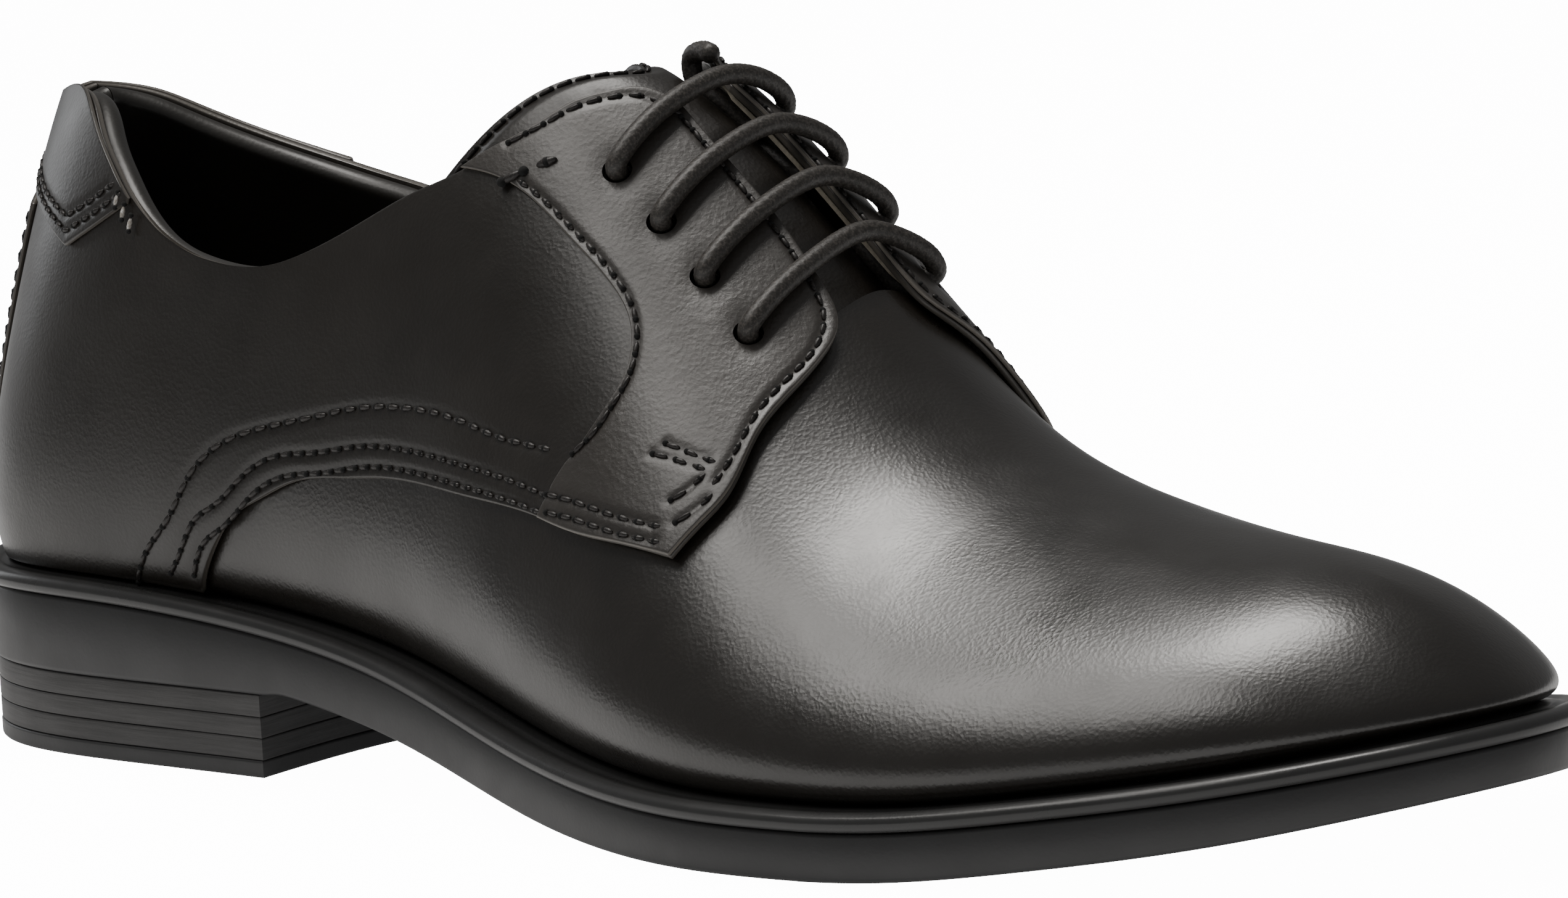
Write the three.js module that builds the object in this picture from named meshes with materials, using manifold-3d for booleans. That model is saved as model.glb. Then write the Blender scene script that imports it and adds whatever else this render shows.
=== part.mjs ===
// A men's derby shoe for the right foot, cemented to a rubber unit sole with a stacked heel.
// Millimetres. +X runs from heel to toe, +Y to the inner (medial) side, +Z up.
import * as THREE from 'three';
import { mergeVertices } from 'three/addons/utils/BufferGeometryUtils.js';
import Module from 'manifold-3d';

const wasm = await Module();
wasm.setup();

// ---- Driving sizes -------------------------------------------------------------------
const lastLength = 300; // the feather line, heel to toe
const ballWidth = 96.6; // the feather line, across the joint
const instepHeight = 85; // instep above the feather line
const heelRise = 16; // the sole's underside at the back, above the ground
const toeSpring = 12; // the same at the toe
const soleThickness = 11; // feather line to ground at the joint
const shankThickness = 12.4; // feather line to the sole's underside at the waist
const leather = 1.1; // upper leather
const facingLeather = 1.0;
const stiffener = 1.0; // toe puff
const facingStay = 0.7; // the tape behind the eyelets
const padding = 2.0; // collar foam and heel counter
const liningLeather = 0.8;
const gap = 0.6; // kept between neighbouring layers
const puffClearance = 0.2; // the least between the toe puff and the lining
const footbedClearance = 0.6; // between the lining and the sock and insole board
const lapSkive = 0.7; // taken off a lapped edge
const seamGap = 0.3; // kept between pieces that butt together
const weltWidth = 6.5; // out from the feather line
const weltThickness = 3.2;
const weltInset = 6; // in from the feather line
const soleEdge = 4.8; // the outsole's edge, out from the feather line
const heelEdge = 4.2; // the heel's side, out from the feather line
const insoleThickness = 2;
const sockThickness = 2.2;
const liftThickness = 3.1;
const liftCount = 3;
const topPieceThickness = 2.5;
const breastX = 79; // the heel's front corners
const breastDepth = 4.5; // how far the heel's front face is hollowed
const shankSize = { width: 13, thickness: 1.4, from: 50, to: 165 };
const nailDiameter = 2.2;
const nailHole = 3.0;
const laceDiameter = 3.0;
const eyeletHole = 4.8;
const stayRoom = 0.6; // how much wider the stay's holes are than the eyelets
const laceRoom = 2.8; // how much wider they are than the lace, which turns under them
const eyeletPairs = 4;
const tongueThickness = 1.5;
const tongueLining = 0.8;
const tongueDepth = 4.6; // the tongue's face, under the vamp's surface, where laces pass over it
const tongueCrown = 1.5; // how much higher it stands between the facings

// ---- The last ------------------------------------------------------------------------
const stretch = lastLength / 300;
const spread = ballWidth / 96.6;
const girth = instepHeight / 85;

// A natural cubic spline y(x) through the points, straight past its ends.
function spline(points) {
  const n = points.length;
  const x = points.map((p) => p[0]);
  const y = points.map((p) => p[1]);
  const m = new Array(n).fill(0);
  const c = new Array(n).fill(0);
  for (let i = 1; i < n - 1; i++) {
    const [a, b] = [x[i] - x[i - 1], x[i + 1] - x[i]];
    const k = 2 * (a + b) - a * c[i - 1];
    c[i] = b / k;
    m[i] = (6 * ((y[i + 1] - y[i]) / b - (y[i] - y[i - 1]) / a) - a * m[i - 1]) / k;
  }
  for (let i = n - 2; i > 0; i--) m[i] -= c[i] * m[i + 1];
  return (at) => {
    const q = Math.min(Math.max(at, x[0]), x[n - 1]);
    let i = 0;
    while (i < n - 2 && q > x[i + 1]) i++;
    const h = x[i + 1] - x[i];
    const [a, b] = [(x[i + 1] - q) / h, (q - x[i]) / h];
    const bend = ((a ** 3 - a) * m[i] + (b ** 3 - b) * m[i + 1]) * h * h / 6;
    const slope = (y[i + 1] - y[i]) / h + ((3 * b * b - 1) * m[i + 1] - (3 * a * a - 1) * m[i]) * h / 6;
    return a * y[i] + b * y[i + 1] + bend + (at - q) * slope;
  };
}

// The feather line in plan, on a 300 mm last: heel back, lateral side, toe, medial side.
const featherPoints = [
  [0.5, 0], [11.5, -23], [46, -30.5], [110, -31.2], [150, -41], [192, -49.4], [232, -44.8],
  [270, -30.5], [294, -12.5], [300, 4], [292, 23.5], [263, 40.5], [222, 47.2], [180, 40.6],
  [140, 31.5], [90, 29], [46, 31], [12, 19],
];
const toePoint = 9;

function closedCurve(points, wrap = 4) {
  const n = points.length;
  const run = [];
  for (let i = -wrap; i <= n + wrap; i++) run.push(points[(i + n) % n]);
  const along = [0];
  for (let i = 1; i < run.length; i++) {
    along.push(along[i - 1] + Math.hypot(run[i][0] - run[i - 1][0], run[i][1] - run[i - 1][1]));
  }
  const start = along[wrap];
  const total = along[wrap + n] - start;
  const fx = spline(run.map((p, i) => [along[i], p[0]]));
  const fy = spline(run.map((p, i) => [along[i], p[1]]));
  const at = (t) => {
    const s = start + (((t % 1) + 1) % 1) * total;
    return [fx(s), fy(s)];
  };
  return { at, share: (i) => (along[wrap + i] - start) / total };
}
const feather = closedCurve(featherPoints.map(([x, y]) => [x * stretch, y * spread]));
const toeShare = feather.share(toePoint);

// Heights along the shoe, by x on a 300 mm last: the underside's rise, and the sole's thickness.
const rise = spline([
  [0, 1], [40, 1.04], [75, 0.9], [110, 0.59], [150, 0.17], [190, 0.005], [205, 0.005], [230, 0.02],
].map(([x, share]) => [x, share * heelRise]));
const springUp = spline([[200, 0], [230, 0.07], [250, 0.26], [275, 0.57], [300, 1]]
  .map(([x, share]) => [x, share * toeSpring]));
const thickness = spline([
  [0, 12], [75, 12], [115, shankThickness], [150, 12], [190, soleThickness], [250, 10.8], [300, 10.4],
]);
function underside(x) {
  const k = x / stretch;
  return k < 215 ? Math.max(rise(k), 0) : Math.max(springUp(k), 0);
}
const featherHeight = (x) => underside(x) + thickness(x / stretch);

// The ridge over the instep and toe: its height over the feather line and its drift to one side.
const ridgeStart = 18.5;
const ridgeEnd = 276.2;
const ridgeAbove = spline([
  [14, 83], [60, 88], [100, 92], [125, 93.5], [150, 82.5], [175, 64.2], [200, 45.8],
  [225, 36.2], [250, 29.8], [276, 23], [300, 10.8],
].map(([x, z]) => [x, z * girth]));
const ridgeDrift = spline([
  [14, 0], [60, 0], [100, 1.5], [125, 6], [150, 9.5], [175, 9.5], [200, 7], [240, 5.8], [276, 5.2],
]);
// How square the cross-section is, on the lateral side and on the medial one.
const lateralRoundness = spline([
  [14, 1.3], [60, 2.35], [100, 2.2], [140, 1.95], [180, 1.9], [220, 1.88], [250, 2], [276, 2.3],
]);
const medialRoundness = spline([
  [14, 1.3], [60, 2.35], [100, 2.3], [140, 2.5], [180, 1.85], [220, 1.95], [250, 2], [276, 2.3],
]);
const bulge = spline([[0, 2.5], [30, 3.3], [130, 5], [180, 4.5], [230, 3.5], [270, 3], [300, 2.5]]);
const bulgeHeight = 0.24;
const heelRounding = 40 / 300; // the share of the length over which the heel's top turns its corner

// "round" is the place round the feather line: 0 at the heel's back, +1 at the toe by the
// lateral side, -1 at the toe by the medial side.
const toShare = (round) => {
  const r = round > 1 ? round - 2 : round < -1 ? round + 2 : round;
  return r >= 0 ? r * toeShare : 1 + r * (1 - toeShare);
};

function plan(round, out = 0) {
  const t = toShare(round);
  const [x, y] = feather.at(t);
  const [xa, ya] = feather.at(t - 1e-4);
  const [xb, yb] = feather.at(t + 1e-4);
  const l = Math.hypot(xb - xa, yb - ya);
  return [x + (yb - ya) / l * out, y - (xb - xa) / l * out, (yb - ya) / l, -(xb - xa) / l];
}

// "up" is the share of the way from the feather line (0) to the ridge (1); past 1 it goes on
// down the other side.
function skin(round, up) {
  if (up > 1) return skin(-round, 2 - up);
  const [x, y, nx, ny] = plan(round);
  const across = Math.abs(round) > 1 ? 2 - Math.abs(round) : Math.abs(round);
  const middle = (plan(across)[0] + plan(-across)[0]) / 2 / lastLength;
  const k = ridgeStart + (ridgeEnd - ridgeStart) * middle * (1 - Math.exp(-((middle / heelRounding) ** 2)));
  const turn = Math.max(up, 0) * Math.PI / 2;
  const lateral = (round >= 0 && round <= 1) || round < -1;
  const apart = (lateral ? 1 : -1) * Math.min(1, across / 0.06, (1 - across) / 0.06);
  const n = lateralRoundness(k) * (1 + apart) / 2 + medialRoundness(k) * (1 - apart) / 2;
  const high = Math.sin(turn) ** (2 / n);
  const inward = 1 - Math.max(Math.cos(turn), 0) ** (2 / n);
  const q = high / bulgeHeight;
  const swell = bulge(x / stretch) * q * Math.exp(1 - q) * (1 - high);
  const along = x + (k * stretch - x) * inward;
  const top = featherHeight(along) + ridgeAbove(along / stretch);
  return new THREE.Vector3(
    along + nx * swell,
    y + (ridgeDrift(k) * spread - y) * inward + ny * swell,
    featherHeight(x) * (1 - high) + top * high,
  );
}

// A point "off" millimetres outside the last; the offset is level beside the sole.
function onLast(round, up, off = 0) {
  const e = 1e-3;
  const p = skin(round, up);
  if (off === 0) return p;
  const along = skin(round + e, up).sub(skin(round - e, up));
  const upward = skin(round, up + e).sub(skin(round, Math.max(up - e, 0)));
  const normal = along.cross(upward);
  if (up > 1) normal.setLength(1);
  normal.z *= Math.min(1, Math.min(up, 2 - up) / 0.08);
  return p.add(normal.setLength(off > 0 ? off : -off).multiplyScalar(Math.sign(off)));
}

// ---- Layers, outwards from the vamp's face ---------------------------------------------
const vampLayer = [0, -leather];
const quarterLayer = [gap + leather, gap];
const overlayInner = quarterLayer[0] + gap;
const facingLayer = [overlayInner + facingLeather, overlayInner];
const puffLayer = [vampLayer[1] - gap, vampLayer[1] - gap - stiffener];
const paddingLayer = [-seamGap, -seamGap - padding];
const stayLayer = [0, -facingStay];
const liningOuter = Math.min(paddingLayer[1] - gap, puffLayer[1] - puffClearance);
const liningLayer = [liningOuter, liningOuter - liningLeather];

// ---- Mesh tools ------------------------------------------------------------------------
function closedMesh(vertices, triangles) {
  const geometry = new THREE.BufferGeometry();
  geometry.setAttribute('position', new THREE.Float32BufferAttribute(vertices.flatMap((p) => p.toArray()), 3));
  geometry.setIndex(triangles);
  const merged = mergeVertices(geometry, 1e-3);
  const index = Array.from(merged.index.array);
  const kept = [];
  for (let i = 0; i < index.length; i += 3) {
    const [a, b, c] = index.slice(i, i + 3);
    if (a !== b && b !== c && c !== a) kept.push(a, b, c);
  }
  merged.setIndex(kept);
  return merged;
}

// A wall between two faces given on a grid; a folded end closes on itself, so it has no wall.
function shell({ columns, rows, outer, inner, foldStart = false, foldEnd = false }) {
  const vertices = [];
  for (const face of [outer, inner]) {
    for (let i = 0; i <= columns; i++) {
      for (let j = 0; j <= rows; j++) vertices.push(face(i / columns, j / rows));
    }
  }
  const size = (columns + 1) * (rows + 1);
  const id = (side, i, j) => side * size + i * (rows + 1) + j;
  const triangles = [];
  const quad = (a, b, c, d) => triangles.push(a, b, c, a, c, d);
  for (let i = 0; i < columns; i++) {
    for (let j = 0; j < rows; j++) {
      quad(id(0, i, j), id(0, i + 1, j), id(0, i + 1, j + 1), id(0, i, j + 1));
      quad(id(1, i, j), id(1, i, j + 1), id(1, i + 1, j + 1), id(1, i + 1, j));
    }
    quad(id(0, i, 0), id(1, i, 0), id(1, i + 1, 0), id(0, i + 1, 0));
    quad(id(0, i, rows), id(0, i + 1, rows), id(1, i + 1, rows), id(1, i, rows));
  }
  for (let j = 0; j < rows; j++) {
    if (!foldStart) quad(id(0, 0, j), id(0, 0, j + 1), id(1, 0, j + 1), id(1, 0, j));
    if (!foldEnd) quad(id(0, columns, j), id(1, columns, j), id(1, columns, j + 1), id(0, columns, j + 1));
  }
  return closedMesh(vertices, triangles);
}

// A line on the last through [round, up] points, as a function of the share of its length.
// A point given twice is a corner.
function line(...points) {
  const runs = [[]];
  points.forEach((p, i) => {
    runs.at(-1).push(new THREE.Vector2(p[0] * 3.4, p[1]));
    const next = points[i + 1];
    if (next && next[0] === p[0] && next[1] === p[1]) runs.push([]);
  });
  const path = new THREE.CurvePath();
  for (const run of runs) if (run.length > 1) path.add(new THREE.SplineCurve(run));
  return (u) => {
    const p = path.getPointAt(u);
    return [p.x / 3.4, p.y];
  };
}

// A piece of leather between four lines: bottom and top run from start to end.
function leatherPiece({ bottom, top, start, end, side = 1, layer, columns, rows }) {
  const corner = [bottom(0), bottom(1), top(0), top(1)];
  const blend = (u, v, k) => {
    const ruled = (1 - v) * bottom(u)[k] + v * top(u)[k] + (1 - u) * start(v)[k] + u * end(v)[k];
    const corners = (1 - u) * ((1 - v) * corner[0][k] + v * corner[2][k])
      + u * ((1 - v) * corner[1][k] + v * corner[3][k]);
    return ruled - corners;
  };
  const face = (off) => (u, v) => {
    const w = side > 0 ? u : 1 - u;
    return onLast(side * blend(w, v, 0), blend(w, v, 1), off);
  };
  return shell({ columns, rows, outer: face(layer[0]), inner: face(layer[1]) });
}

// A plate across the sole between two stations; folded where it ends in the heel's back or the toe.
function plate({ from = 0, to = 1, out, top, bottom, columns, rows = 4 }) {
  const face = (height) => (u, v) => {
    const round = from + (to - from) * u;
    const [xa, ya] = plan(round, out);
    const [xb, yb] = plan(-round, out);
    const x = xa + (xb - xa) * v;
    return new THREE.Vector3(x, ya + (yb - ya) * v, height(x));
  };
  return shell({ columns, rows, outer: face(top), inner: face(bottom), foldStart: from === 0, foldEnd: to === 1 });
}

function solid(geometry) {
  const bare = geometry.clone();
  for (const name of ['normal', 'uv']) bare.deleteAttribute(name);
  const merged = mergeVertices(bare, 1e-4);
  return new wasm.Manifold(new wasm.Mesh({
    numProp: 3,
    vertProperties: new Float32Array(merged.attributes.position.array),
    triVerts: new Uint32Array(merged.index.array),
  }));
}

function cut(geometry, cutters) {
  let body = solid(geometry);
  for (const cutter of cutters) body = body.subtract(solid(cutter));
  const mesh = body.getMesh();
  const result = new THREE.BufferGeometry();
  result.setAttribute('position', new THREE.Float32BufferAttribute(mesh.vertProperties, 3));
  result.setIndex(Array.from(mesh.triVerts));
  return result;
}

// A round bar centred on a point, along a direction.
function bar(center, direction, diameter, length, sides = 16) {
  const geometry = new THREE.CylinderGeometry(diameter / 2, diameter / 2, length, sides);
  const turn = new THREE.Quaternion().setFromUnitVectors(new THREE.Vector3(0, 1, 0), direction.clone().normalize());
  return geometry.applyQuaternion(turn).translate(center.x, center.y, center.z);
}

// ---- Lines of the pattern --------------------------------------------------------------
const throat = 0.592;
const toplineFront = [[0.216, 0.37], [0.243, 0.35], [0.28, 0.36], [0.303, 0.39], [0.336, 0.45], [0.367, 0.51], [0.395, 0.565]];
const toplines = {
  lateral: [[0, 0.71], [0.05, 0.7], [0.09, 0.7], [0.126, 0.67], [0.151, 0.58], [0.171, 0.5], [0.187, 0.44], ...toplineFront],
  medial: [[0, 0.71], [0.05, 0.69], [0.08, 0.66], [0.1, 0.62], [0.13, 0.54], [0.16, 0.46], [0.187, 0.405], ...toplineFront],
};
const topline = (side) => (side > 0 ? toplines.lateral : toplines.medial);
const facingTop = [[0.412, 0.62], [0.427, 0.68], [0.438, 0.75], [0.449, 0.81], [0.459, 0.86], [0.474, 0.89]];
const facingFront = [
  [0.59, 0.36], [0.598, 0.43], [0.604, 0.5], [0.602, 0.6], [0.604, 0.71], [0.604, 0.78], [0.598, 0.845],
  [0.575, 0.87], [0.541, 0.88], [0.506, 0.88], [0.474, 0.89],
];
const archFront = [[0.505, 0.273], [0.531, 0.292], [0.56, 0.325], [0.59, 0.36]];
const archLine = [
  [0.236, 0], [0.253, 0.04], [0.266, 0.07], [0.287, 0.1], [0.31, 0.13], [0.35, 0.16],
  [0.379, 0.18], [0.442, 0.22], ...archFront,
];
const seamLine = [
  [0.505, 0.273], [0.513, 0.34], [0.524, 0.41], [0.531, 0.47], [0.531, 0.54], [0.524, 0.57],
  [0.506, 0.59], [0.472, 0.59], [0.436, 0.59], [0.395, 0.565],
];
const patchEdge = [[0, 0.6], [0.05, 0.567], [0.105, 0.5], [0.145, 0.41], [0.145, 0.41], [0.168, 0.418], [0.187, 0.435]];
const medialPatch = 0.88; // the medial half of the patch reaches less far

// The medial facing comes this much nearer the ridge than the lateral one.
const medialReach = 0.06;
function facingLine(side, points) {
  const nearer = (up) => medialReach * THREE.MathUtils.smoothstep(up, 0.45, 0.7);
  return points.map(([round, up]) => [round, side > 0 ? up : up + nearer(up)]);
}

// ---- Uppers ----------------------------------------------------------------------------
const halfSeam = seamGap / 2 / (lastLength * 1.13);
const liningSeam = 3 * halfSeam;
const withSeam = (points, half = halfSeam) => points.map(([r, u]) => [Math.max(r, half), u]);
const eyelets = [];
for (let i = 0; i < eyeletPairs; i++) {
  const share = i / (eyeletPairs - 1);
  eyelets.push([0.476 + 0.096 * share, 0.71 - 0.01 * share]);
}
const eyeletCutters = (side, room = 0) => facingLine(side, eyelets).map(([round, up]) => {
  const inside = onLast(side * round, up, -6);
  const outside = onLast(side * round, up, 8);
  return bar(inside.clone().add(outside).multiplyScalar(0.5), outside.clone().sub(inside), eyeletHole + room, 10);
});

function quarter(side) {
  const piece = leatherPiece({
    bottom: line(...withSeam([[0, 0], [0.12, 0], [0.236, 0], ...archLine])),
    top: line(...withSeam([...topline(side), ...facingLine(side, facingTop)])),
    start: line([halfSeam, 0], [halfSeam, 0.4], [halfSeam, 0.71]),
    end: line(...facingLine(side, facingFront)),
    side, layer: quarterLayer, columns: 24, rows: 10,
  });
  return cut(piece, eyeletCutters(side));
}

function facing(side) {
  const piece = leatherPiece({
    bottom: line(...archFront),
    top: line(toplineFront.at(-1), ...facingLine(side, facingTop)),
    start: line(...seamLine),
    end: line(...facingLine(side, facingFront)),
    side, layer: facingLayer, columns: 7, rows: 13,
  });
  return cut(piece, eyeletCutters(side));
}

function stay(side) {
  const edge = (...points) => line(...facingLine(side, points));
  const piece = leatherPiece({
    bottom: edge([0.54, 0.58], [0.558, 0.58], [0.574, 0.58]),
    top: edge([0.442, 0.66], [0.456, 0.77], [0.474, 0.86]),
    start: edge([0.54, 0.58], [0.506, 0.61], [0.468, 0.63], [0.442, 0.66]),
    end: edge([0.574, 0.58], [0.585, 0.72], [0.58, 0.82], [0.541, 0.86], [0.474, 0.86]),
    side, layer: stayLayer, columns: 5, rows: 9,
  });
  return cut(piece, eyeletCutters(side, Math.max(stayRoom, laceDiameter + laceRoom - eyeletHole)));
}

// The vamp and its inner layers wrap the toe and meet over the instep. Columns crowd towards the
// toe, where the turn is tight, and the rear edge is skived where another piece laps it.
function vampWrap({ rear, layer, columns, rows, skive = 0 }) {
  const behind = spline(rear);
  const face = (off, lapped) => (u, v) => {
    const side = v < 0.5 ? 1 : -1;
    const up = 1 - Math.abs(2 * v - 1);
    const back = behind(up);
    const forward = (u + Math.sin(u * Math.PI / 2)) / 2;
    const sink = u < 0.12 ? lapped : 0;
    return onLast(side * (back + (1 - back) * forward), Math.min(up, 0.9995), off - sink);
  };
  return shell({ columns, rows, outer: face(layer[0], skive), inner: face(layer[1], 0), foldEnd: true });
}
const vampRear = [[0, 0.18], [0.06, 0.215], [0.12, 0.245], [0.2, 0.305], [0.27, 0.4], [0.35, 0.51], [0.5, 0.575], [1, throat]];
const vamp = vampWrap({ rear: vampRear, layer: vampLayer, columns: 18, rows: 24, skive: lapSkive });
const vampLining = vampWrap({
  rear: [[0, 0.6], [0.3, 0.6], [0.6, 0.6], [1, 0.6]], layer: liningLayer, columns: 12, rows: 20,
});
const toePuff = vampWrap({
  rear: [[0, 0.86], [0.5, 0.87], [1, 0.88]], layer: puffLayer, columns: 7, rows: 20,
});

function quarterLining(side) {
  return leatherPiece({
    bottom: line([liningSeam, 0], [0.15, 0], [0.3, 0], [0.45, 0], [0.597, 0]),
    top: line(...withSeam(topline(side), liningSeam), [0.44, 0.59], [0.52, 0.57], [0.56, 0.55], [0.597, 0.5]),
    start: line([liningSeam, 0], [liningSeam, 0.4], [liningSeam, 0.71]),
    end: line([0.597, 0], [0.597, 0.25], [0.597, 0.5]),
    side, layer: liningLayer, columns: 20, rows: 8,
  });
}

// The counter and the collar's foam go round the heel in one piece.
function aroundHeel({ reach, low, high, layer, columns, rows }) {
  const face = (off) => (u, v) => {
    const round = reach * (2 * u - 1);
    const bottom = low(round);
    return onLast(round, bottom + (high(round) - bottom) * v, off);
  };
  return shell({ columns, rows, outer: face(layer[0]), inner: face(layer[1]) });
}
const lateralUp = spline(toplines.lateral);
const medialUp = spline(toplines.medial);
const toplineUp = (round) => (round > 0 ? lateralUp(round) : medialUp(-round));
const counterUp = spline([[0, 0.47], [0.06, 0.44], [0.1, 0.38], [0.13, 0.3], [0.168, 0.19]]);
const heelCounter = aroundHeel({
  reach: 0.168, low: () => 0, high: (r) => counterUp(Math.abs(r)), layer: paddingLayer, columns: 18, rows: 6,
});
const collarFoam = aroundHeel({
  reach: 0.37, low: (r) => Math.max(toplineUp(r) - 0.2, 0.2) + 0.01, high: (r) => toplineUp(r) - 0.015,
  layer: paddingLayer, columns: 32, rows: 3,
});

// The collar's outside patch comes down in two points and is sewn over the quarters.
function collarPatch() {
  const half = line(...patchEdge);
  const face = (off) => (u, v) => {
    const share = Math.abs(2 * u - 1);
    const side = u < 0.5 ? -1 : 1;
    const [reach, low] = half(share);
    const round = side > 0 ? reach : reach * medialPatch;
    const high = toplineUp(side * round);
    return onLast(side * round, high - Math.max(high - low, 0.008) * (1 - v), off);
  };
  return shell({ columns: 20, rows: 4, outer: face(facingLayer[0]), inner: face(facingLayer[1]) });
}

// The strip over the back seam reaches up to the patch and narrows towards the sole.
const stripTop = spline([[0, 0.585], [0.045, 0.55], [0.068, 0.52]]);
function backStrip() {
  const face = (off) => (u, v) => {
    const round = (0.05 + 0.018 * v) * (2 * u - 1);
    return onLast(round, stripTop(Math.abs(round)) * v, off);
  };
  return shell({ columns: 8, rows: 8, outer: face(facingLayer[0]), inner: face(facingLayer[1]) });
}

// ---- Tongue ----------------------------------------------------------------------------
const tongueHalf = spline([[0, 0.4], [0.3, 0.37], [0.7, 0.41], [1, 0.47]]);
const tongueFrom = 0.607;
const tongueTo = 0.43;
const tongueCorner = 0.08; // how far back its top corners reach
function tonguePiece(face, thick) {
  const side = (off) => (u, v) => {
    const share = 1 - u;
    const across = 2 * v - 1;
    const half = tongueHalf(share);
    const back = tongueCorner * (Math.hypot(across, 0.15) - 0.15) * share;
    const round = tongueFrom + (tongueTo - tongueFrom) * share - back;
    const crown = tongueCrown * Math.max(0, 1 - (across * half / 0.17) ** 2) * Math.sin(Math.PI * share);
    const lift = -tongueDepth + crown - face - off;
    return across < 0
      ? onLast(round, Math.min(1 + across * half, 0.9995), lift)
      : onLast(-round, Math.min(1 - across * half, 0.9995), lift);
  };
  return shell({ columns: 9, rows: 12, outer: side(0), inner: side(thick) });
}
const tongue = tonguePiece(0, tongueThickness);
const tongueBack = tonguePiece(tongueThickness + seamGap, tongueLining);

// ---- Sole and heel ---------------------------------------------------------------------
const heelTop = topPieceThickness + seamGap + liftCount * (liftThickness + seamGap);
const weltTop = (x) => featherHeight(x) - seamGap;
const weltBottom = (x) => weltTop(x) - weltThickness;
const soleTop = (x) => weltBottom(x) - seamGap;
const soleBottom = (x) => {
  const blend = Math.min(Math.max((x - breastX - 1) / 6, 0), 1);
  return heelTop * (1 - blend) + underside(x) * blend;
};

function welt() {
  const face = (height) => (u, v) => {
    const [x, y] = plan(2 * u - 1, weltWidth - (weltWidth + weltInset) * v);
    return new THREE.Vector3(x, y, height(x));
  };
  return shell({
    columns: 56, rows: 1, outer: (u, v) => face(weltTop)(u, v), inner: (u, v) => face(weltBottom)(u, v),
    foldStart: true, foldEnd: true,
  });
}

const fillerIn = weltInset + 1.5;
const nails = [[16, 0], [28, -14], [28, 14], [52, -15], [52, 15]].map(([x, y]) => [x * stretch, y * spread]);
const nailLow = topPieceThickness + seamGap + 2;
const nailHigh = (x) => weltBottom(x) + 1;
const nailCutters = nails.map(([x, y]) => bar(
  new THREE.Vector3(x, y, (nailLow - 0.4 + nailHigh(x)) / 2 + 1.2), new THREE.Vector3(0, 0, 1),
  nailHole, nailHigh(x) - nailLow + 3.2, 10,
));
const outsole = cut(plate({ out: soleEdge, top: soleTop, bottom: soleBottom, columns: 40, rows: 2 }), nailCutters);

function heelSlab(low, thick, out) {
  const shape = new THREE.Shape();
  let corner = 0.05;
  while (plan(corner, out)[0] < breastX) corner += 0.001;
  const steps = 20;
  for (let i = 0; i <= steps; i++) {
    const [x, y] = plan(corner * (2 * i / steps - 1), out);
    if (i === 0) shape.moveTo(x, y);
    else shape.lineTo(x, y);
  }
  const [, right] = plan(corner, out);
  const [, left] = plan(-corner, out);
  for (let i = 1; i < 8; i++) {
    const share = i / 8;
    const hollow = breastDepth * (1 - (2 * share - 1) ** 2);
    shape.lineTo(breastX - hollow, right + (left - right) * share);
  }
  shape.closePath();
  const slab = new THREE.ExtrudeGeometry(shape, { depth: thick, bevelEnabled: false });
  return slab.translate(0, 0, low);
}

function shankStrip() {
  const face = (low) => (u, v) => {
    const x = (shankSize.from + (shankSize.to - shankSize.from) * u) * stretch;
    const wide = shankSize.width * (2 * v - 1) / 2;
    return new THREE.Vector3(x, -wide * 1, weltTop(x) - 1 - low);
  };
  return shell({
    columns: 12, rows: 1,
    outer: (u, v) => face(0)(u, 1 - v), inner: (u, v) => face(shankSize.thickness)(u, 1 - v),
  });
}

// ---- Lace ------------------------------------------------------------------------------
// [round, up, off] in hand-chosen steps; up past 1 is the medial side. It runs from its hidden
// end through the four pairs of holes to the tail that stands behind the top bar.
const [h1, h2, h3, h4] = eyelets;
const under = -2.55;
const over = facingLayer[0] + laceDiameter / 2 + 0.35;
const down = ([r, u], dr) => [[r, u, over - 0.9], [r, u, 1.2], [r, u, -0.7], [r + dr * 0.3, u, under + 0.2]];
const mirrorHole = (hole) => {
  const [[round, up]] = facingLine(-1, [hole]);
  return [round, 2 - up];
};
const crossing = ([r, u]) => {
  const far = mirrorHole([r, u])[1];
  return [
    [r, u + 0.035, over], [r, u + 0.13, over - 0.1], [r, 1, over - 0.1],
    [r, far - 0.13, over + 0.2], [r, far - 0.035, over + 0.2],
  ];
};
const backward = (points) => [...points].reverse();
const laceRoute = [
  [0.462, 1.31, under], [0.48, 1.29, under], [0.495, 1.26, under],
  ...backward(down(mirrorHole(h2), -0.02)),
  ...backward(crossing(h2)),
  ...down(h2, 0.02),
  [0.52, 0.665, under], [0.545, 0.65, under], [0.562, 0.665, under],
  ...backward(down(h4, -0.02)),
  ...crossing(h4),
  ...down(mirrorHole(h4), -0.02),
  [0.557, 1.23, under],
  ...backward(down(mirrorHole(h3), 0.02)),
  ...backward(crossing(h3)),
  ...down(h3, -0.02),
  [0.528, 0.735, under], [0.508, 0.76, under], [0.488, 0.74, under],
  ...backward(down(h1, 0.02)),
  ...crossing(h1),
  ...down(mirrorHole(h1), -0.02),
  [0.459, 1.19, under], [0.445, 1.16, under + 0.2], [0.442, 1.12, 0.2], [0.45, 1.08, 2.4], [0.46, 1.05, 3.6],
];
function lace() {
  const points = laceRoute.map(([r, u, off]) => onLast(r, u, off));
  const path = new THREE.CatmullRomCurve3(points, false, 'centripetal');
  const ring = new THREE.Shape();
  ring.absarc(0, 0, laceDiameter / 2, 0, 2 * Math.PI);
  return new THREE.ExtrudeGeometry(ring, { steps: 90, extrudePath: path, curveSegments: 4, bevelEnabled: false });
}

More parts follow.
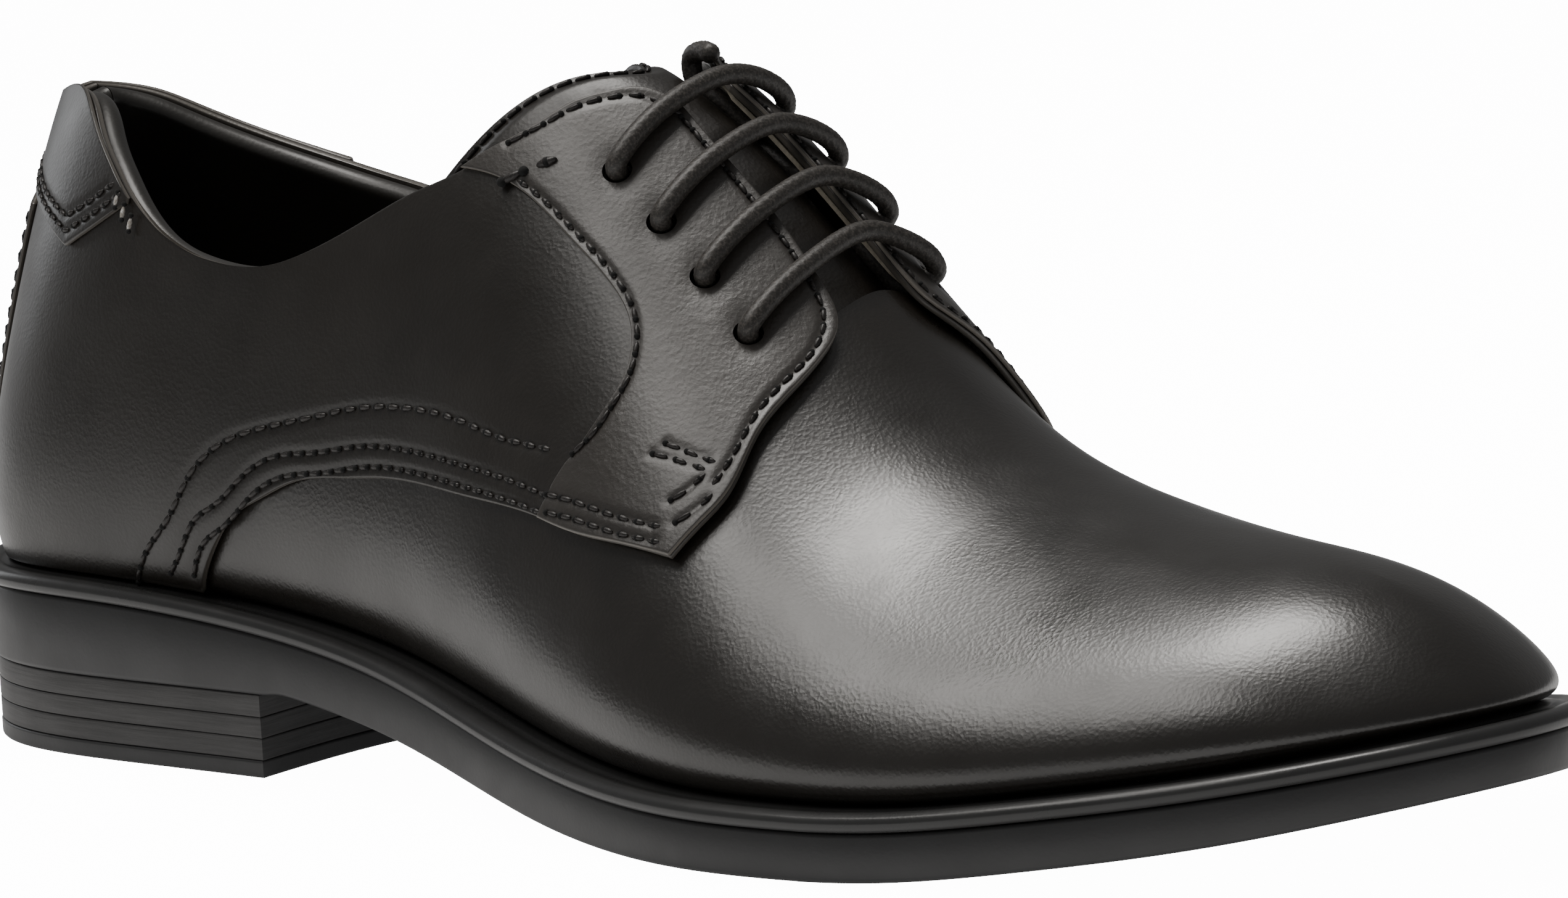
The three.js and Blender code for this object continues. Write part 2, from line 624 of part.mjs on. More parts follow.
// ---- Assembly --------------------------------------------------------------------------
const colours = {
  upper: [0x2e2a27, 0.38, 0], facing: [0x332f2b, 0.5, 0], lining: [0x1d1a17, 0.7, 0],
  sole: [0x3a3a3c, 0.45, 0], heel: [0x353537, 0.6, 0], welt: [0x1b1a19, 0.25, 0],
  board: [0x8a6f4e, 0.85, 0], cork: [0x9a7448, 0.9, 0], steel: [0x9fa2a6, 0.35, 1],
  foam: [0x2a2826, 0.95, 0], lace: [0x141312, 0.65, 0], aglet: [0x26211d, 0.35, 0],
};
const shoe = new THREE.Group();
function add(name, geometry, finish) {
  const [color, roughness, metalness] = colours[finish];
  const mesh = new THREE.Mesh(geometry, new THREE.MeshStandardMaterial({ color, roughness, metalness }));
  mesh.name = name;
  shoe.add(mesh);
}

for (const [name, side] of [['lateral', 1], ['medial', -1]]) {
  add(`quarter_${name}`, quarter(side), 'upper');
  add(`facing_${name}`, facing(side), 'facing');
  add(`facing_stay_${name}`, stay(side), 'board');
  add(`quarter_lining_${name}`, quarterLining(side), 'lining');
}
add('vamp', vamp, 'upper');
add('vamp_lining', vampLining, 'lining');
add('toe_puff', toePuff, 'board');
add('heel_counter', heelCounter, 'board');
add('collar_foam', collarFoam, 'foam');
add('collar_patch', collarPatch(), 'upper');
add('back_strip', backStrip(), 'upper');
add('tongue', tongue, 'upper');
add('tongue_lining', tongueBack, 'lining');
add('lace', lace(), 'lace');

const insideWall = -liningLayer[1] + footbedClearance;
add('insole_board', plate({
  out: -insideWall, top: (x) => featherHeight(x) + insoleThickness, bottom: featherHeight, columns: 20, rows: 2,
}), 'board');
add('sock', plate({
  out: -insideWall, top: (x) => featherHeight(x) + insoleThickness + seamGap + sockThickness,
  bottom: (x) => featherHeight(x) + insoleThickness + seamGap, columns: 20, rows: 2,
}), 'lining');
add('welt', welt(), 'welt');
add('forepart_filler', plate({
  from: 0.55, to: 1, out: -fillerIn, top: weltTop, bottom: (x) => weltBottom(x), columns: 12, rows: 2,
}), 'cork');
add('seat_filler', cut(plate({
  from: 0, to: 0.13, out: -fillerIn, top: weltTop, bottom: (x) => weltBottom(x), columns: 7, rows: 2,
}), nailCutters), 'cork');
add('shank', shankStrip(), 'steel');
add('outsole', outsole, 'sole');
for (let i = 0; i < liftCount; i++) {
  const low = topPieceThickness + seamGap + (liftCount - 1 - i) * (liftThickness + seamGap);
  add(`heel_lift_${i + 1}`, cut(heelSlab(low, liftThickness, heelEdge), nailCutters), 'heel');
}
add('heel_top_piece', heelSlab(0, topPieceThickness, heelEdge), 'heel');
nails.forEach(([x, y], i) => {
  const length = nailHigh(x) - nailLow;
  const center = new THREE.Vector3(x, y, nailLow + length / 2);
  add(`heel_nail_${i + 1}`, bar(center, new THREE.Vector3(0, 0, 1), nailDiameter, length, 8), 'steel');
});

// The origin goes to the middle of the box's underside.
const box = new THREE.Box3().setFromObject(shoe);
const middle = box.getCenter(new THREE.Vector3());
shoe.position.set(-middle.x, -middle.y, -box.min.z);

export default shoe;
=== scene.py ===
"""A laced leather dress shoe for the right foot, as a Blender add-on that builds it round its frame.

Shapes are worked out in millimetres: +X from heel to toe, +Y to the inner side of the foot, +Z up.
"round" is a place round the sole's edge: 0 at the heel's back, 1 at the toe by the outer side, -1 at
the toe by the inner side. "up" is the share of the way from the sole's edge (0) to the ridge (1).
"""
import math

import bmesh
import bpy
import numpy as np
from bpy.props import FloatProperty, FloatVectorProperty, PointerProperty
from mathutils import Matrix, Vector
from mathutils.kdtree import KDTree


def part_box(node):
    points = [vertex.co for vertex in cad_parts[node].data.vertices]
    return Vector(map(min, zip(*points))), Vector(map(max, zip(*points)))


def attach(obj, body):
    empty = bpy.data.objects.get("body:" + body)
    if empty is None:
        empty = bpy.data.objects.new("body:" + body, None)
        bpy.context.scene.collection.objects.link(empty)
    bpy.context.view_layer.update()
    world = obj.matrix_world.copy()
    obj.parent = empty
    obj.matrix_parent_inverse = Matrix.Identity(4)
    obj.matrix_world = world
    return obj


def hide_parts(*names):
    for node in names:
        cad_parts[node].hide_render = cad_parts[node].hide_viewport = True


bl_info = {
    "name": "Leather Dress Shoe",
    "version": (1, 0, 0),
    "blender": (4, 5, 0),
    "location": "View3D > Sidebar > Shoe",
    "description": "Builds a laced leather dress shoe with its welt, sole, heel, lace and stitching",
    "category": "Add Mesh",
}

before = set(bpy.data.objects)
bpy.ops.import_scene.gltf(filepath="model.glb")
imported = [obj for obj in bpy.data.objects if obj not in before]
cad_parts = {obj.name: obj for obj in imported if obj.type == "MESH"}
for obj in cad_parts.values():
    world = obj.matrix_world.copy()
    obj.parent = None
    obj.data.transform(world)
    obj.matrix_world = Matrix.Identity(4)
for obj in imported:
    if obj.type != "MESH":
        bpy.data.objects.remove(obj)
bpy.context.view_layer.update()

# ---- Sizes shared by the pieces, in millimetres ------------------------------------------
LAST_LENGTH = 300
HEEL_RISE = 16
TOE_SPRING = 12
VAMP = (0.0, -1.1)  # outer and inner face, out from the last
QUARTER = (1.7, 0.6)
FACING = (2.55, 1.75)
PATCH = (2.6, 1.75)
STRIP = (2.9, 1.75)
LINING = (-2.9, -3.7)
WELT_WIDTH = 6.5
SOLE_EDGE = 4.8
HEEL_EDGE = 4.2
BREAST_X = 79
BREAST_DEPTH = 4.5
TONGUE_DEPTH = 4.6


# ---- The last ----------------------------------------------------------------------------
def spline(points):
    """A natural cubic through the points, straight past its ends."""
    x, y = np.array(points, float).T
    n = len(x)
    h = np.diff(x)
    bend = np.zeros(n)
    if n > 2:
        band = np.diag(2 * (h[:-1] + h[1:])) + np.diag(h[1:-1], 1) + np.diag(h[1:-1], -1)
        bend[1:-1] = np.linalg.solve(band, 6 * np.diff(np.diff(y) / h))

    def at(q):
        q = np.asarray(q, float)
        inside = np.clip(q, x[0], x[-1])
        i = np.clip(np.searchsorted(x, inside, side="right") - 1, 0, n - 2)
        a, b = (x[i + 1] - inside) / h[i], (inside - x[i]) / h[i]
        curve = ((a**3 - a) * bend[i] + (b**3 - b) * bend[i + 1]) * h[i] ** 2 / 6
        turning = (3 * b * b - 1) * bend[i + 1] - (3 * a * a - 1) * bend[i]
        slope = (y[i + 1] - y[i]) / h[i] + turning * h[i] / 6
        return a * y[i] + b * y[i + 1] + curve + (q - inside) * slope

    return at


FEATHER = [
    (0.5, 0), (11.5, -23), (46, -30.5), (110, -31.2), (150, -41), (192, -49.4), (232, -44.8),
    (270, -30.5), (294, -12.5), (300, 4), (292, 23.5), (263, 40.5), (222, 47.2), (180, 40.6),
    (140, 31.5), (90, 29), (46, 31), (12, 19),
]
TOE_POINT = 9


def closed_curve(points, wrap=4):
    """A smooth closed outline by its share of length, and the share at each point."""
    count = len(points)
    run = np.array([points[i % count] for i in range(-wrap, count + wrap + 1)], float)
    along = np.concatenate([[0], np.cumsum(np.hypot(*np.diff(run, axis=0).T))])
    start, total = along[wrap], along[wrap + count] - along[wrap]
    fx = spline(np.stack([along, run[:, 0]], 1))
    fy = spline(np.stack([along, run[:, 1]], 1))

    def at(t):
        s = start + np.mod(t, 1) * total
        return fx(s), fy(s)

    return at, lambda i: (along[wrap + i] - start) / total


feather, feather_share = closed_curve(FEATHER)
TOE_SHARE = feather_share(TOE_POINT)

rise = spline([
    (x, share * HEEL_RISE)
    for x, share in [
        (0, 1), (40, 1.04), (75, 0.9), (110, 0.59), (150, 0.17), (190, 0.005), (205, 0.005), (230, 0.02),
    ]
])
spring_up = spline([
    (x, share * TOE_SPRING) for x, share in [(200, 0), (230, 0.07), (250, 0.26), (275, 0.57), (300, 1)]
])
thickness = spline([(0, 12), (75, 12), (115, 12.4), (150, 12), (190, 11), (250, 10.8), (300, 10.4)])
RIDGE_START = 18.5
RIDGE_END = 276.2
HEEL_ROUNDING = 40 / 300
ridge_above = spline([
    (14, 83), (60, 88), (100, 92), (125, 93.5), (150, 82.5), (175, 64.2), (200, 45.8),
    (225, 36.2), (250, 29.8), (276, 23), (300, 10.8),
])
ridge_drift = spline([
    (14, 0), (60, 0), (100, 1.5), (125, 6), (150, 9.5), (175, 9.5), (200, 7), (240, 5.8), (276, 5.2),
])
outer_roundness = spline([
    (14, 1.3), (60, 2.35), (100, 2.2), (140, 1.95), (180, 1.9), (220, 1.88), (250, 2), (276, 2.3),
])
inner_roundness = spline([
    (14, 1.3), (60, 2.35), (100, 2.3), (140, 2.5), (180, 1.85), (220, 1.95), (250, 2), (276, 2.3),
])
swell = spline([(0, 2.5), (30, 3.3), (130, 5), (180, 4.5), (230, 3.5), (270, 3), (300, 2.5)])
SWELL_HEIGHT = 0.24


def underside(x):
    """The sole's height above the ground."""
    return np.maximum(np.where(x < 215, rise(x), spring_up(x)), 0)


def feather_height(x):
    """The height of the line where the upper meets the welt."""
    return underside(x) + thickness(x)


def to_share(place):
    """The share of the outline at a place round the sole; past 1 it goes on down the other side."""
    place = np.where(place > 1, place - 2, np.where(place < -1, place + 2, place))
    return np.where(place >= 0, place * TOE_SHARE, 1 + place * (1 - TOE_SHARE))


def plan(place, out=0.0):
    """The outline at a place round the sole, moved outwards, and its outward direction."""
    t = to_share(np.asarray(place, float))
    x, y = feather(t)
    xa, ya = feather(t - 1e-4)
    xb, yb = feather(t + 1e-4)
    length = np.hypot(xb - xa, yb - ya)
    nx, ny = (yb - ya) / length, -(xb - xa) / length
    return x + nx * out, y + ny * out, nx, ny


def skin(place, up):
    """A point of the last's surface."""
    place, up = np.broadcast_arrays(np.asarray(place, float), np.asarray(up, float))
    place, up = np.where(up > 1, -place, place), np.where(up > 1, 2 - up, up)
    x, y, nx, ny = plan(place)
    across = np.where(np.abs(place) > 1, 2 - np.abs(place), np.abs(place))
    middle = (plan(across)[0] + plan(-across)[0]) / 2 / LAST_LENGTH
    k = RIDGE_START + (RIDGE_END - RIDGE_START) * middle * (1 - np.exp(-((middle / HEEL_ROUNDING) ** 2)))
    turn = np.clip(up, 0, 1) * math.pi / 2
    outer = ((place >= 0) & (place <= 1)) | (place < -1)
    apart = np.where(outer, 1, -1) * np.clip(np.minimum(across, 1 - across) / 0.06, -1, 1)
    n = outer_roundness(k) * (1 + apart) / 2 + inner_roundness(k) * (1 - apart) / 2
    high = np.sin(turn) ** (2 / n)
    inward = 1 - np.maximum(np.cos(turn), 0) ** (2 / n)
    q = high / SWELL_HEIGHT
    out = swell(x) * q * np.exp(1 - q) * (1 - high)
    along = x + (k - x) * inward
    top = feather_height(along) + ridge_above(along)
    return np.stack([
        along + nx * out,
        y + (ridge_drift(k) - y) * inward + ny * out,
        feather_height(x) * (1 - high) + top * high,
    ], -1)


def normal_at(place, up):
    """The outward direction of the last's surface, level beside the sole."""
    e = 1e-3
    along = skin(place + e, up) - skin(place - e, up)
    upward = skin(place, up + e) - skin(place, np.maximum(up - e, 0))
    normal = np.cross(along, upward)
    normal /= np.maximum(np.linalg.norm(normal, axis=-1, keepdims=True), 1e-12)
    normal[..., 2] *= np.clip(np.minimum(up, 2 - up) / 0.08, 0, 1)
    return normal / np.maximum(np.linalg.norm(normal, axis=-1, keepdims=True), 1e-12)


def on_last(place, up, off=0.0):
    """A point "off" millimetres outside the last."""
    place, up = np.broadcast_arrays(np.asarray(place, float), np.asarray(up, float))
    return skin(place, up) + normal_at(place, up) * np.asarray(off, float)[..., None]


def frame_offset():
    """From the shape's own origin to the frame's: both see the welt's outline."""
    x, y, *_ = plan(np.linspace(-1, 1, 57), WELT_WIDTH)
    low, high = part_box("welt")
    middle = (low + high) / 2 * 1000
    return np.array([middle.x - (x.min() + x.max()) / 2, middle.y - (y.min() + y.max()) / 2, 0])


OFFSET = frame_offset()

# ---- Lines of the pattern, each a list of (round, up) --------------------------------------
TOPLINE_FRONT = [
    (0.216, 0.37), (0.243, 0.35), (0.28, 0.36), (0.303, 0.39), (0.336, 0.45), (0.367, 0.51), (0.395, 0.565),
]
TOPLINES = {  # 1 on the outer side of the foot, -1 on the inner
    1: [
        (0, 0.71), (0.05, 0.7), (0.09, 0.7), (0.126, 0.67), (0.151, 0.58), (0.171, 0.5), (0.187, 0.44),
        *TOPLINE_FRONT,
    ],
    -1: [
        (0, 0.71), (0.05, 0.69), (0.08, 0.66), (0.1, 0.62), (0.13, 0.54), (0.16, 0.46), (0.187, 0.405),
        *TOPLINE_FRONT,
    ],
}
FACING_TOP = [(0.412, 0.62), (0.427, 0.68), (0.438, 0.75), (0.449, 0.81), (0.459, 0.86), (0.474, 0.89)]
FACING_FRONT = [
    (0.59, 0.36), (0.598, 0.43), (0.604, 0.5), (0.602, 0.6), (0.604, 0.71), (0.604, 0.78), (0.598, 0.845),
    (0.575, 0.87), (0.541, 0.88), (0.506, 0.88), (0.474, 0.89),
]
ARCH_FRONT = [(0.505, 0.273), (0.531, 0.292), (0.56, 0.325), (0.59, 0.36)]
ARCH = [
    (0.236, 0), (0.253, 0.04), (0.266, 0.07), (0.287, 0.1), (0.31, 0.13), (0.35, 0.16),
    (0.379, 0.18), (0.442, 0.22), *ARCH_FRONT,
]
SEAM = [
    (0.505, 0.273), (0.511, 0.33), (0.521, 0.4), (0.527, 0.46), (0.529, 0.51), (0.526, 0.54), (0.52, 0.562),
    (0.504, 0.578), (0.472, 0.58), (0.436, 0.583), (0.412, 0.575), (0.395, 0.565),
]
PATCH_EDGE = [
    (0, 0.6), (0.05, 0.567), (0.105, 0.5), (0.145, 0.41), (0.145, 0.41), (0.168, 0.418), (0.187, 0.435),
]
INNER_PATCH = 0.88
STRIP_TOP = spline([(0, 0.585), (0.045, 0.55), (0.068, 0.52)])
EYELETS = [(0.476 + 0.032 * i, 0.71 - 0.0033 * i) for i in range(4)]
VAMP_REAR = spline([
    (0, 0.18), (0.06, 0.215), (0.12, 0.245), (0.2, 0.305), (0.27, 0.4), (0.35, 0.51), (0.5, 0.575),
    (1, 0.592),
])
MEDIAL_REACH = 0.06
ROUND_STRETCH = 3.4


def smooth_step(value, low, high):
    """From 0 at low to 1 at high, level at both ends."""
    t = np.clip((value - low) / (high - low), 0, 1)
    return t * t * (3 - 2 * t)


def path(*points):
    """A smooth line through (round, up) points by its share of length; a doubled point is a corner."""
    runs = [[]]
    for i, point in enumerate(points):
        runs[-1].append((point[0] * ROUND_STRETCH, point[1]))
        if i + 1 < len(points) and points[i + 1] == point:
            runs.append([])
    lines, lengths = [], []
    for run in (np.array(r) for r in runs if len(r) > 1):
        along = np.concatenate([[0], np.cumsum(np.hypot(*np.diff(run, axis=0).T))])
        lines.append([spline(np.stack([along, run[:, i]], 1)) for i in (0, 1)])
        lengths.append(along[-1])
    ends = np.concatenate([[0], np.cumsum(lengths)])

    def at(u):
        s = np.clip(np.asarray(u, float), 0, 1) * ends[-1]
        which = np.clip(np.searchsorted(ends, s, side="right") - 1, 0, len(lines) - 1)
        place, up = np.zeros_like(s), np.zeros_like(s)
        for i, (fx, fy) in enumerate(lines):
            here = which == i
            place[here] = fx(s[here] - ends[i]) / ROUND_STRETCH
            up[here] = fy(s[here] - ends[i])
        return place, up

    return at


def facing_line(side, points):
    """The inner facing comes nearer the ridge than the outer one."""
    if side > 0:
        return list(points)
    return [(a, q + MEDIAL_REACH * float(smooth_step(q, 0.45, 0.7))) for a, q in points]


def between(bottom, top, start, end):
    """A patch between four lines, as a function of two shares."""
    corner = [f(np.array([s]))[k][0] for k in (0, 1) for f in (bottom, top) for s in (0.0, 1.0)]

    def at(u, v):
        result = []
        for k in (0, 1):
            b0, b1, t0, t1 = corner[4 * k:4 * k + 4]
            ruled = (1 - v) * bottom(u)[k] + v * top(u)[k] + (1 - u) * start(v)[k] + u * end(v)[k]
            result.append(ruled - (1 - u) * ((1 - v) * b0 + v * t0) - u * ((1 - v) * b1 + v * t1))
        return result

    return at


# ---- Mesh tools ----------------------------------------------------------------------------
def grid_faces(rows, columns, start=0, flip=False, closed=False):
    """The quads of a grid of points, rows by columns; closed joins its last column to its first."""
    i, j = np.meshgrid(np.arange(rows - 1), np.arange(columns if closed else columns - 1), indexing="ij")
    n = (j + 1) % columns
    quads = np.stack([i * columns + j, (i + 1) * columns + j, (i + 1) * columns + n, i * columns + n], -1)
    quads = quads.reshape(-1, 4) + start
    return quads[:, ::-1] if flip else quads


def mesh_object(name, points, faces, finish, sharp=40.0, rim=None):
    """A smooth mesh object at the origin, from points in millimetres; rim marks its cut edges, or on the lace
    how far each strand stands out, the mask for its painted glints.
    """
    mesh = bpy.data.meshes.new(name)
    placed = (np.asarray(points).reshape(-1, 3) + OFFSET) / 1000
    mesh.from_pydata(placed.tolist(), [], [list(f) for f in faces])
    if rim is not None:
        mesh.attributes.new("rim", "FLOAT", "POINT").data.foreach_set("value", rim.astype(np.float32))
    work = bmesh.new()
    work.from_mesh(mesh)
    bmesh.ops.remove_doubles(work, verts=work.verts, dist=2e-6)
    bmesh.ops.dissolve_degenerate(work, edges=work.edges, dist=1e-7)
    bmesh.ops.recalc_face_normals(work, faces=work.faces)
    work.to_mesh(mesh)
    work.free()
    mesh.polygons.foreach_set("use_smooth", [True] * len(mesh.polygons))
    mesh.set_sharp_from_angle(angle=math.radians(sharp))
    mesh.materials.append(material(finish))
    item = bpy.data.objects.new(name, mesh)
    bpy.context.scene.collection.objects.link(item)
    return item


def fit(item, body, slot, *nodes):
    """Puts a finished piece on its body in place of its CAD nodes."""
    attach(item, body)
    if nodes:
        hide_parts(*nodes)
    return item


def evaluated(item):
    """The item with its modifiers applied, as a plain mesh object of the same name."""
    graph = bpy.context.evaluated_depsgraph_get()
    mesh = bpy.data.meshes.new_from_object(item.evaluated_get(graph))
    name = item.name
    bpy.data.objects.remove(item)
    mesh.name = name
    plain = bpy.data.objects.new(name, mesh)
    bpy.context.scene.collection.objects.link(plain)
    return plain


def edge_steps(count, length, radius):
    """Shares of a side that crowd at its two ends, and how far each end's edge has rolled out."""
    turn = np.linspace(0, math.pi / 2, 5)
    near = radius * (1 - np.cos(turn)) / length
    inner = np.linspace(near[-1], 1 - near[-1], count)[1:-1]
    shares = np.concatenate([near, inner, 1 - near[::-1]])
    rolled = np.concatenate([np.sin(turn), np.ones(len(inner)), np.sin(turn)[::-1]])
    return shares, rolled


def wall(name, place_at, size, layer, finish, spacing=1.1, grooves=None, side=1, lift=None):
    """A sheet of leather on the last with rolled edges; size is its length and height in millimetres."""
    half, middle = (layer[0] - layer[1]) / 2, (layer[0] + layer[1]) / 2
    us, ku = edge_steps(int(size[0] / spacing), size[0], half)
    vs, kv = edge_steps(int(size[1] / spacing), size[1], half)
    u, v = np.meshgrid(us, vs, indexing="ij")
    place, up = place_at(u, v)
    place = side * place
    rolled = np.minimum.outer(ku, kv)
    normal = normal_at(place, up)
    base = skin(place, up)
    off = middle + half * rolled
    if lift is not None:
        off = off + lift(place, up) * rolled
    if grooves is not None:
        off = off - groove_depth(base + normal * off[..., None], grooves)
    outer = base + normal * off[..., None]
    inner = base + normal * (middle - half * rolled)[..., None]
    rows, columns = len(us), len(vs)
    points = np.concatenate([outer.reshape(-1, 3), inner.reshape(-1, 3)])
    faces = np.concatenate([
        grid_faces(rows, columns), grid_faces(rows, columns, rows * columns, flip=True),
    ])
    rim = np.concatenate([1 - rolled.ravel(), np.ones(rows * columns)])
    return mesh_object(name, points, faces, finish, rim=rim)


GROOVE_DEPTH = 0.28
GROOVE_WIDTH = 0.75


def groove_depth(points, lines):
    """How far thread pulls the leather in, beside the stitched lines."""
    samples = np.concatenate([resample(line, 0.4) for line in lines])
    tree = KDTree(len(samples))
    for i, sample in enumerate(samples):
        tree.insert(sample, i)
    tree.balance()
    flat = points.reshape(-1, 3)
    near = np.array([tree.find(p)[2] for p in flat.tolist()])
    return (GROOVE_DEPTH * np.exp(-((near / GROOVE_WIDTH) ** 2))).reshape(points.shape[:-1])


def resample(line, step):
    """Points along a polyline about step apart."""
    line = np.asarray(line, float)
    along = np.concatenate([[0], np.cumsum(np.linalg.norm(np.diff(line, axis=0), axis=1))])
    count = max(int(along[-1] / step), 2)
    s = np.linspace(0, along[-1], count + 1)
    return np.stack([np.interp(s, along, line[:, i]) for i in range(3)], -1)


def strip_caps(rows, half):
    """The faces that close the two ends of a tube whose sections fold back on themselves."""
    faces = []
    for base, turned in ((0, False), ((rows - 1) * 2 * half, True)):
        for j in range(half - 1):
            quad = [base + j, base + j + 1, base + 2 * half - 2 - j, base + 2 * half - 1 - j]
            faces.append(quad[::-1] if turned else quad)
    return faces


def folded_tube(name, upper, lower, finish):
    """A solid between two grids whose matching edges are joined."""
    rows, half = upper.shape[:2]
    points = np.concatenate([upper, lower[:, ::-1]], 1).reshape(-1, 3)
    faces = grid_faces(rows, 2 * half, closed=True).tolist() + strip_caps(rows, half)
    return mesh_object(name, points, faces, finish)


# ---- Materials -----------------------------------------------------------------------------
def add(tree, kind, **values):
    """A node with its inputs set from numbers or other nodes' sockets.

    Inputs go by name, or by number as in_0; a name that starts with "_" is a setting of the node.
    """
    node = tree.nodes.new(kind)
    for name, value in values.items():
        if name.startswith("_"):
            setattr(node, name[1:], value)
            continue
        key = int(name[3:]) if name.startswith("in_") else name.replace("_", " ")
        socket = node.inputs[key]
        if isinstance(value, bpy.types.NodeSocket):
            tree.links.new(value, socket)
        else:
            socket.default_value = value
    return node


def noise(tree, where, scale, detail=3.0, roughness=0.55, distortion=0.0):
    """Cloudy noise from 0 to 1, so many waves to the metre."""
    node = add(tree, "ShaderNodeTexNoise", Vector=where, Scale=scale, Detail=detail)
    node.inputs["Roughness"].default_value = roughness
    node.inputs["Distortion"].default_value = distortion
    return node.outputs["Fac"]


def ramp(tree, value, low, high, start=0.0, end=1.0):
    """The value's range from start to end, spread from low to high."""
    node = add(tree, "ShaderNodeMapRange", Value=value)
    node.inputs["From Min"].default_value = start
    node.inputs["From Max"].default_value = end
    node.inputs["To Min"].default_value = low
    node.inputs["To Max"].default_value = high
    return node.outputs["Result"]


def mix_colour(tree, share, first, second):
    """The first colour, turning into the second as the share goes to 1."""
    node = add(tree, "ShaderNodeMix", _data_type="RGBA", in_0=share)
    for socket, value in ((node.inputs[6], first), (node.inputs[7], second)):
        if isinstance(value, bpy.types.NodeSocket):
            tree.links.new(value, socket)
        else:
            socket.default_value = (*value[:3], 1)
    return node.outputs[2]


def blended(tree, share, first, second):
    """The same for plain numbers."""
    return add(tree, "ShaderNodeMix", in_0=share, in_2=first, in_3=second).outputs[0]


def new_finish(name):
    """A material with its Principled shader, and the place on the piece to pattern it by."""
    made = bpy.data.materials.new(name)
    made.use_nodes = True
    tree = made.node_tree
    shader = tree.nodes["Principled BSDF"]
    where = add(tree, "ShaderNodeTexCoord").outputs["Object"]
    return made, tree, shader, where


def times(tree, first, second):
    """The two values multiplied."""
    return add(tree, "ShaderNodeMath", _operation="MULTIPLY", in_0=first, in_1=second).outputs[0]


def edge_wear_and_glint_mask(tree):
    """How near a cut edge, or how far up a lace's strand, a place on the surface is: the mask for real wear
    at cut edges, and for the painted highlight of the lace's glints.
    """
    return add(tree, "ShaderNodeAttribute", _attribute_name="rim").outputs["Fac"]


def bump(tree, shader, height, depth):
    """Raises the surface by the height, in millimetres of depth."""
    node = add(tree, "ShaderNodeBump", Height=height, Strength=1.0, Distance=depth / 1000)
    tree.links.new(node.outputs["Normal"], shader.inputs["Normal"])


GRAIN_DRIFT = 0.0012  # metres by which the grain's cells are pushed out of line


def leather(name, colour, grain, depth, roughness, edge=0.0, creases=0.35, polish=0.5):
    """Waxed leather: pebbled grain, fine creases, uneven dye and polish, and a paler cut edge."""
    made, tree, shader, where = new_finish(name)
    uneven = add(tree, "ShaderNodeTexNoise", Vector=where, Scale=400.0).outputs["Color"]
    drift = add(tree, "ShaderNodeVectorMath", _operation="SCALE", in_0=uneven, Scale=GRAIN_DRIFT).outputs[0]
    moved = add(tree, "ShaderNodeVectorMath", _operation="ADD", in_0=where, in_1=drift).outputs[0]
    cells = add(tree, "ShaderNodeTexVoronoi", Vector=moved, Scale=grain)
    fine = noise(tree, where, grain * 1.7, 4, 0.6)
    wrinkle = noise(tree, where, grain * 0.22, 5, 0.62, 0.6)
    pebbles = blended(tree, creases, cells.outputs["Distance"], wrinkle)
    height = blended(tree, 0.3, pebbles, fine)
    bump(tree, shader, height, depth)
    dark = tuple(c * 0.72 for c in colour)
    tone = mix_colour(tree, ramp(tree, noise(tree, where, 34, 3), 0, 1, 0.35, 0.65), dark, colour)
    if edge:
        worn = times(tree, edge_wear_and_glint_mask(tree), edge)
        worn = times(tree, worn, blended(tree, noise(tree, where, 220, 2), 0.75, 1.0))
        tone = mix_colour(tree, worn, tone, chosen_colours()["raw_edge"])
    tree.links.new(tone, shader.inputs["Base Color"])
    gloss = ramp(tree, noise(tree, where, 60, 4), roughness - 0.05, roughness + 0.07, 0.3, 0.7)
    tree.links.new(gloss, shader.inputs["Roughness"])
    shader.inputs["Specular IOR Level"].default_value = polish
    shader.inputs["Coat Weight"].default_value = polish * 0.25
    shader.inputs["Coat Roughness"].default_value = 0.24
    return made


def rubber(name, colour, roughness, scratches=0.0, depth=0.02):
    """Moulded rubber: a fine matt texture, and for the heel's layers long level scratches."""
    made, tree, shader, where = new_finish(name)
    height = noise(tree, where, 1500, 3)
    if scratches:
        stretched = add(tree, "ShaderNodeMapping", Vector=where, Scale=(70, 70, 1700)).outputs[0]
        lines = noise(tree, stretched, 1.0, 5, 0.65)
        height = blended(tree, scratches, height, lines)
        uneven = ramp(tree, lines, 0.75, 1.35, 0.3, 0.7)
    else:
        uneven = ramp(tree, noise(tree, where, 40, 3), 0.9, 1.1, 0.3, 0.7)
    bump(tree, shader, height, depth)
    tone = add(tree, "ShaderNodeVectorMath", _operation="SCALE", in_0=colour[:3])
    tree.links.new(uneven, tone.inputs["Scale"])
    tree.links.new(tone.outputs[0], shader.inputs["Base Color"])
    gloss = ramp(tree, noise(tree, where, 90, 3), roughness - 0.05, roughness + 0.06, 0.3, 0.7)
    tree.links.new(gloss, shader.inputs["Roughness"])
    return made


def cord_finish(name, colour, roughness, glints=0.0):
    """Waxed thread or lace, with fine fibres; on a lace's raised strands pale specks are painted in as
    glints, a painted highlight.
    """
    made, tree, shader, where = new_finish(name)
    fibres = noise(tree, where, 2600, 4, 0.6)
    bump(tree, shader, fibres, 0.05)
    bright = tuple(min(c * 4, 1) for c in colour)
    tone = mix_colour(tree, ramp(tree, fibres, 0, 1, 0.45, 0.8), colour, bright)
    # painted highlight: pale specks on the lace's raised strands stand in for glints of light
    if glints:
        raised = ramp(tree, edge_wear_and_glint_mask(tree), 0, glints, 0.6, 0.95)
        glint_specks = ramp(tree, noise(tree, where, 700, 2), 0, 1, 0.48, 0.56)
        tone = mix_colour(tree, times(tree, glint_specks, raised), tone, chosen_colours()["raw_edge"])
    tree.links.new(tone, shader.inputs["Base Color"])
    shader.inputs["Roughness"].default_value = roughness
    return made


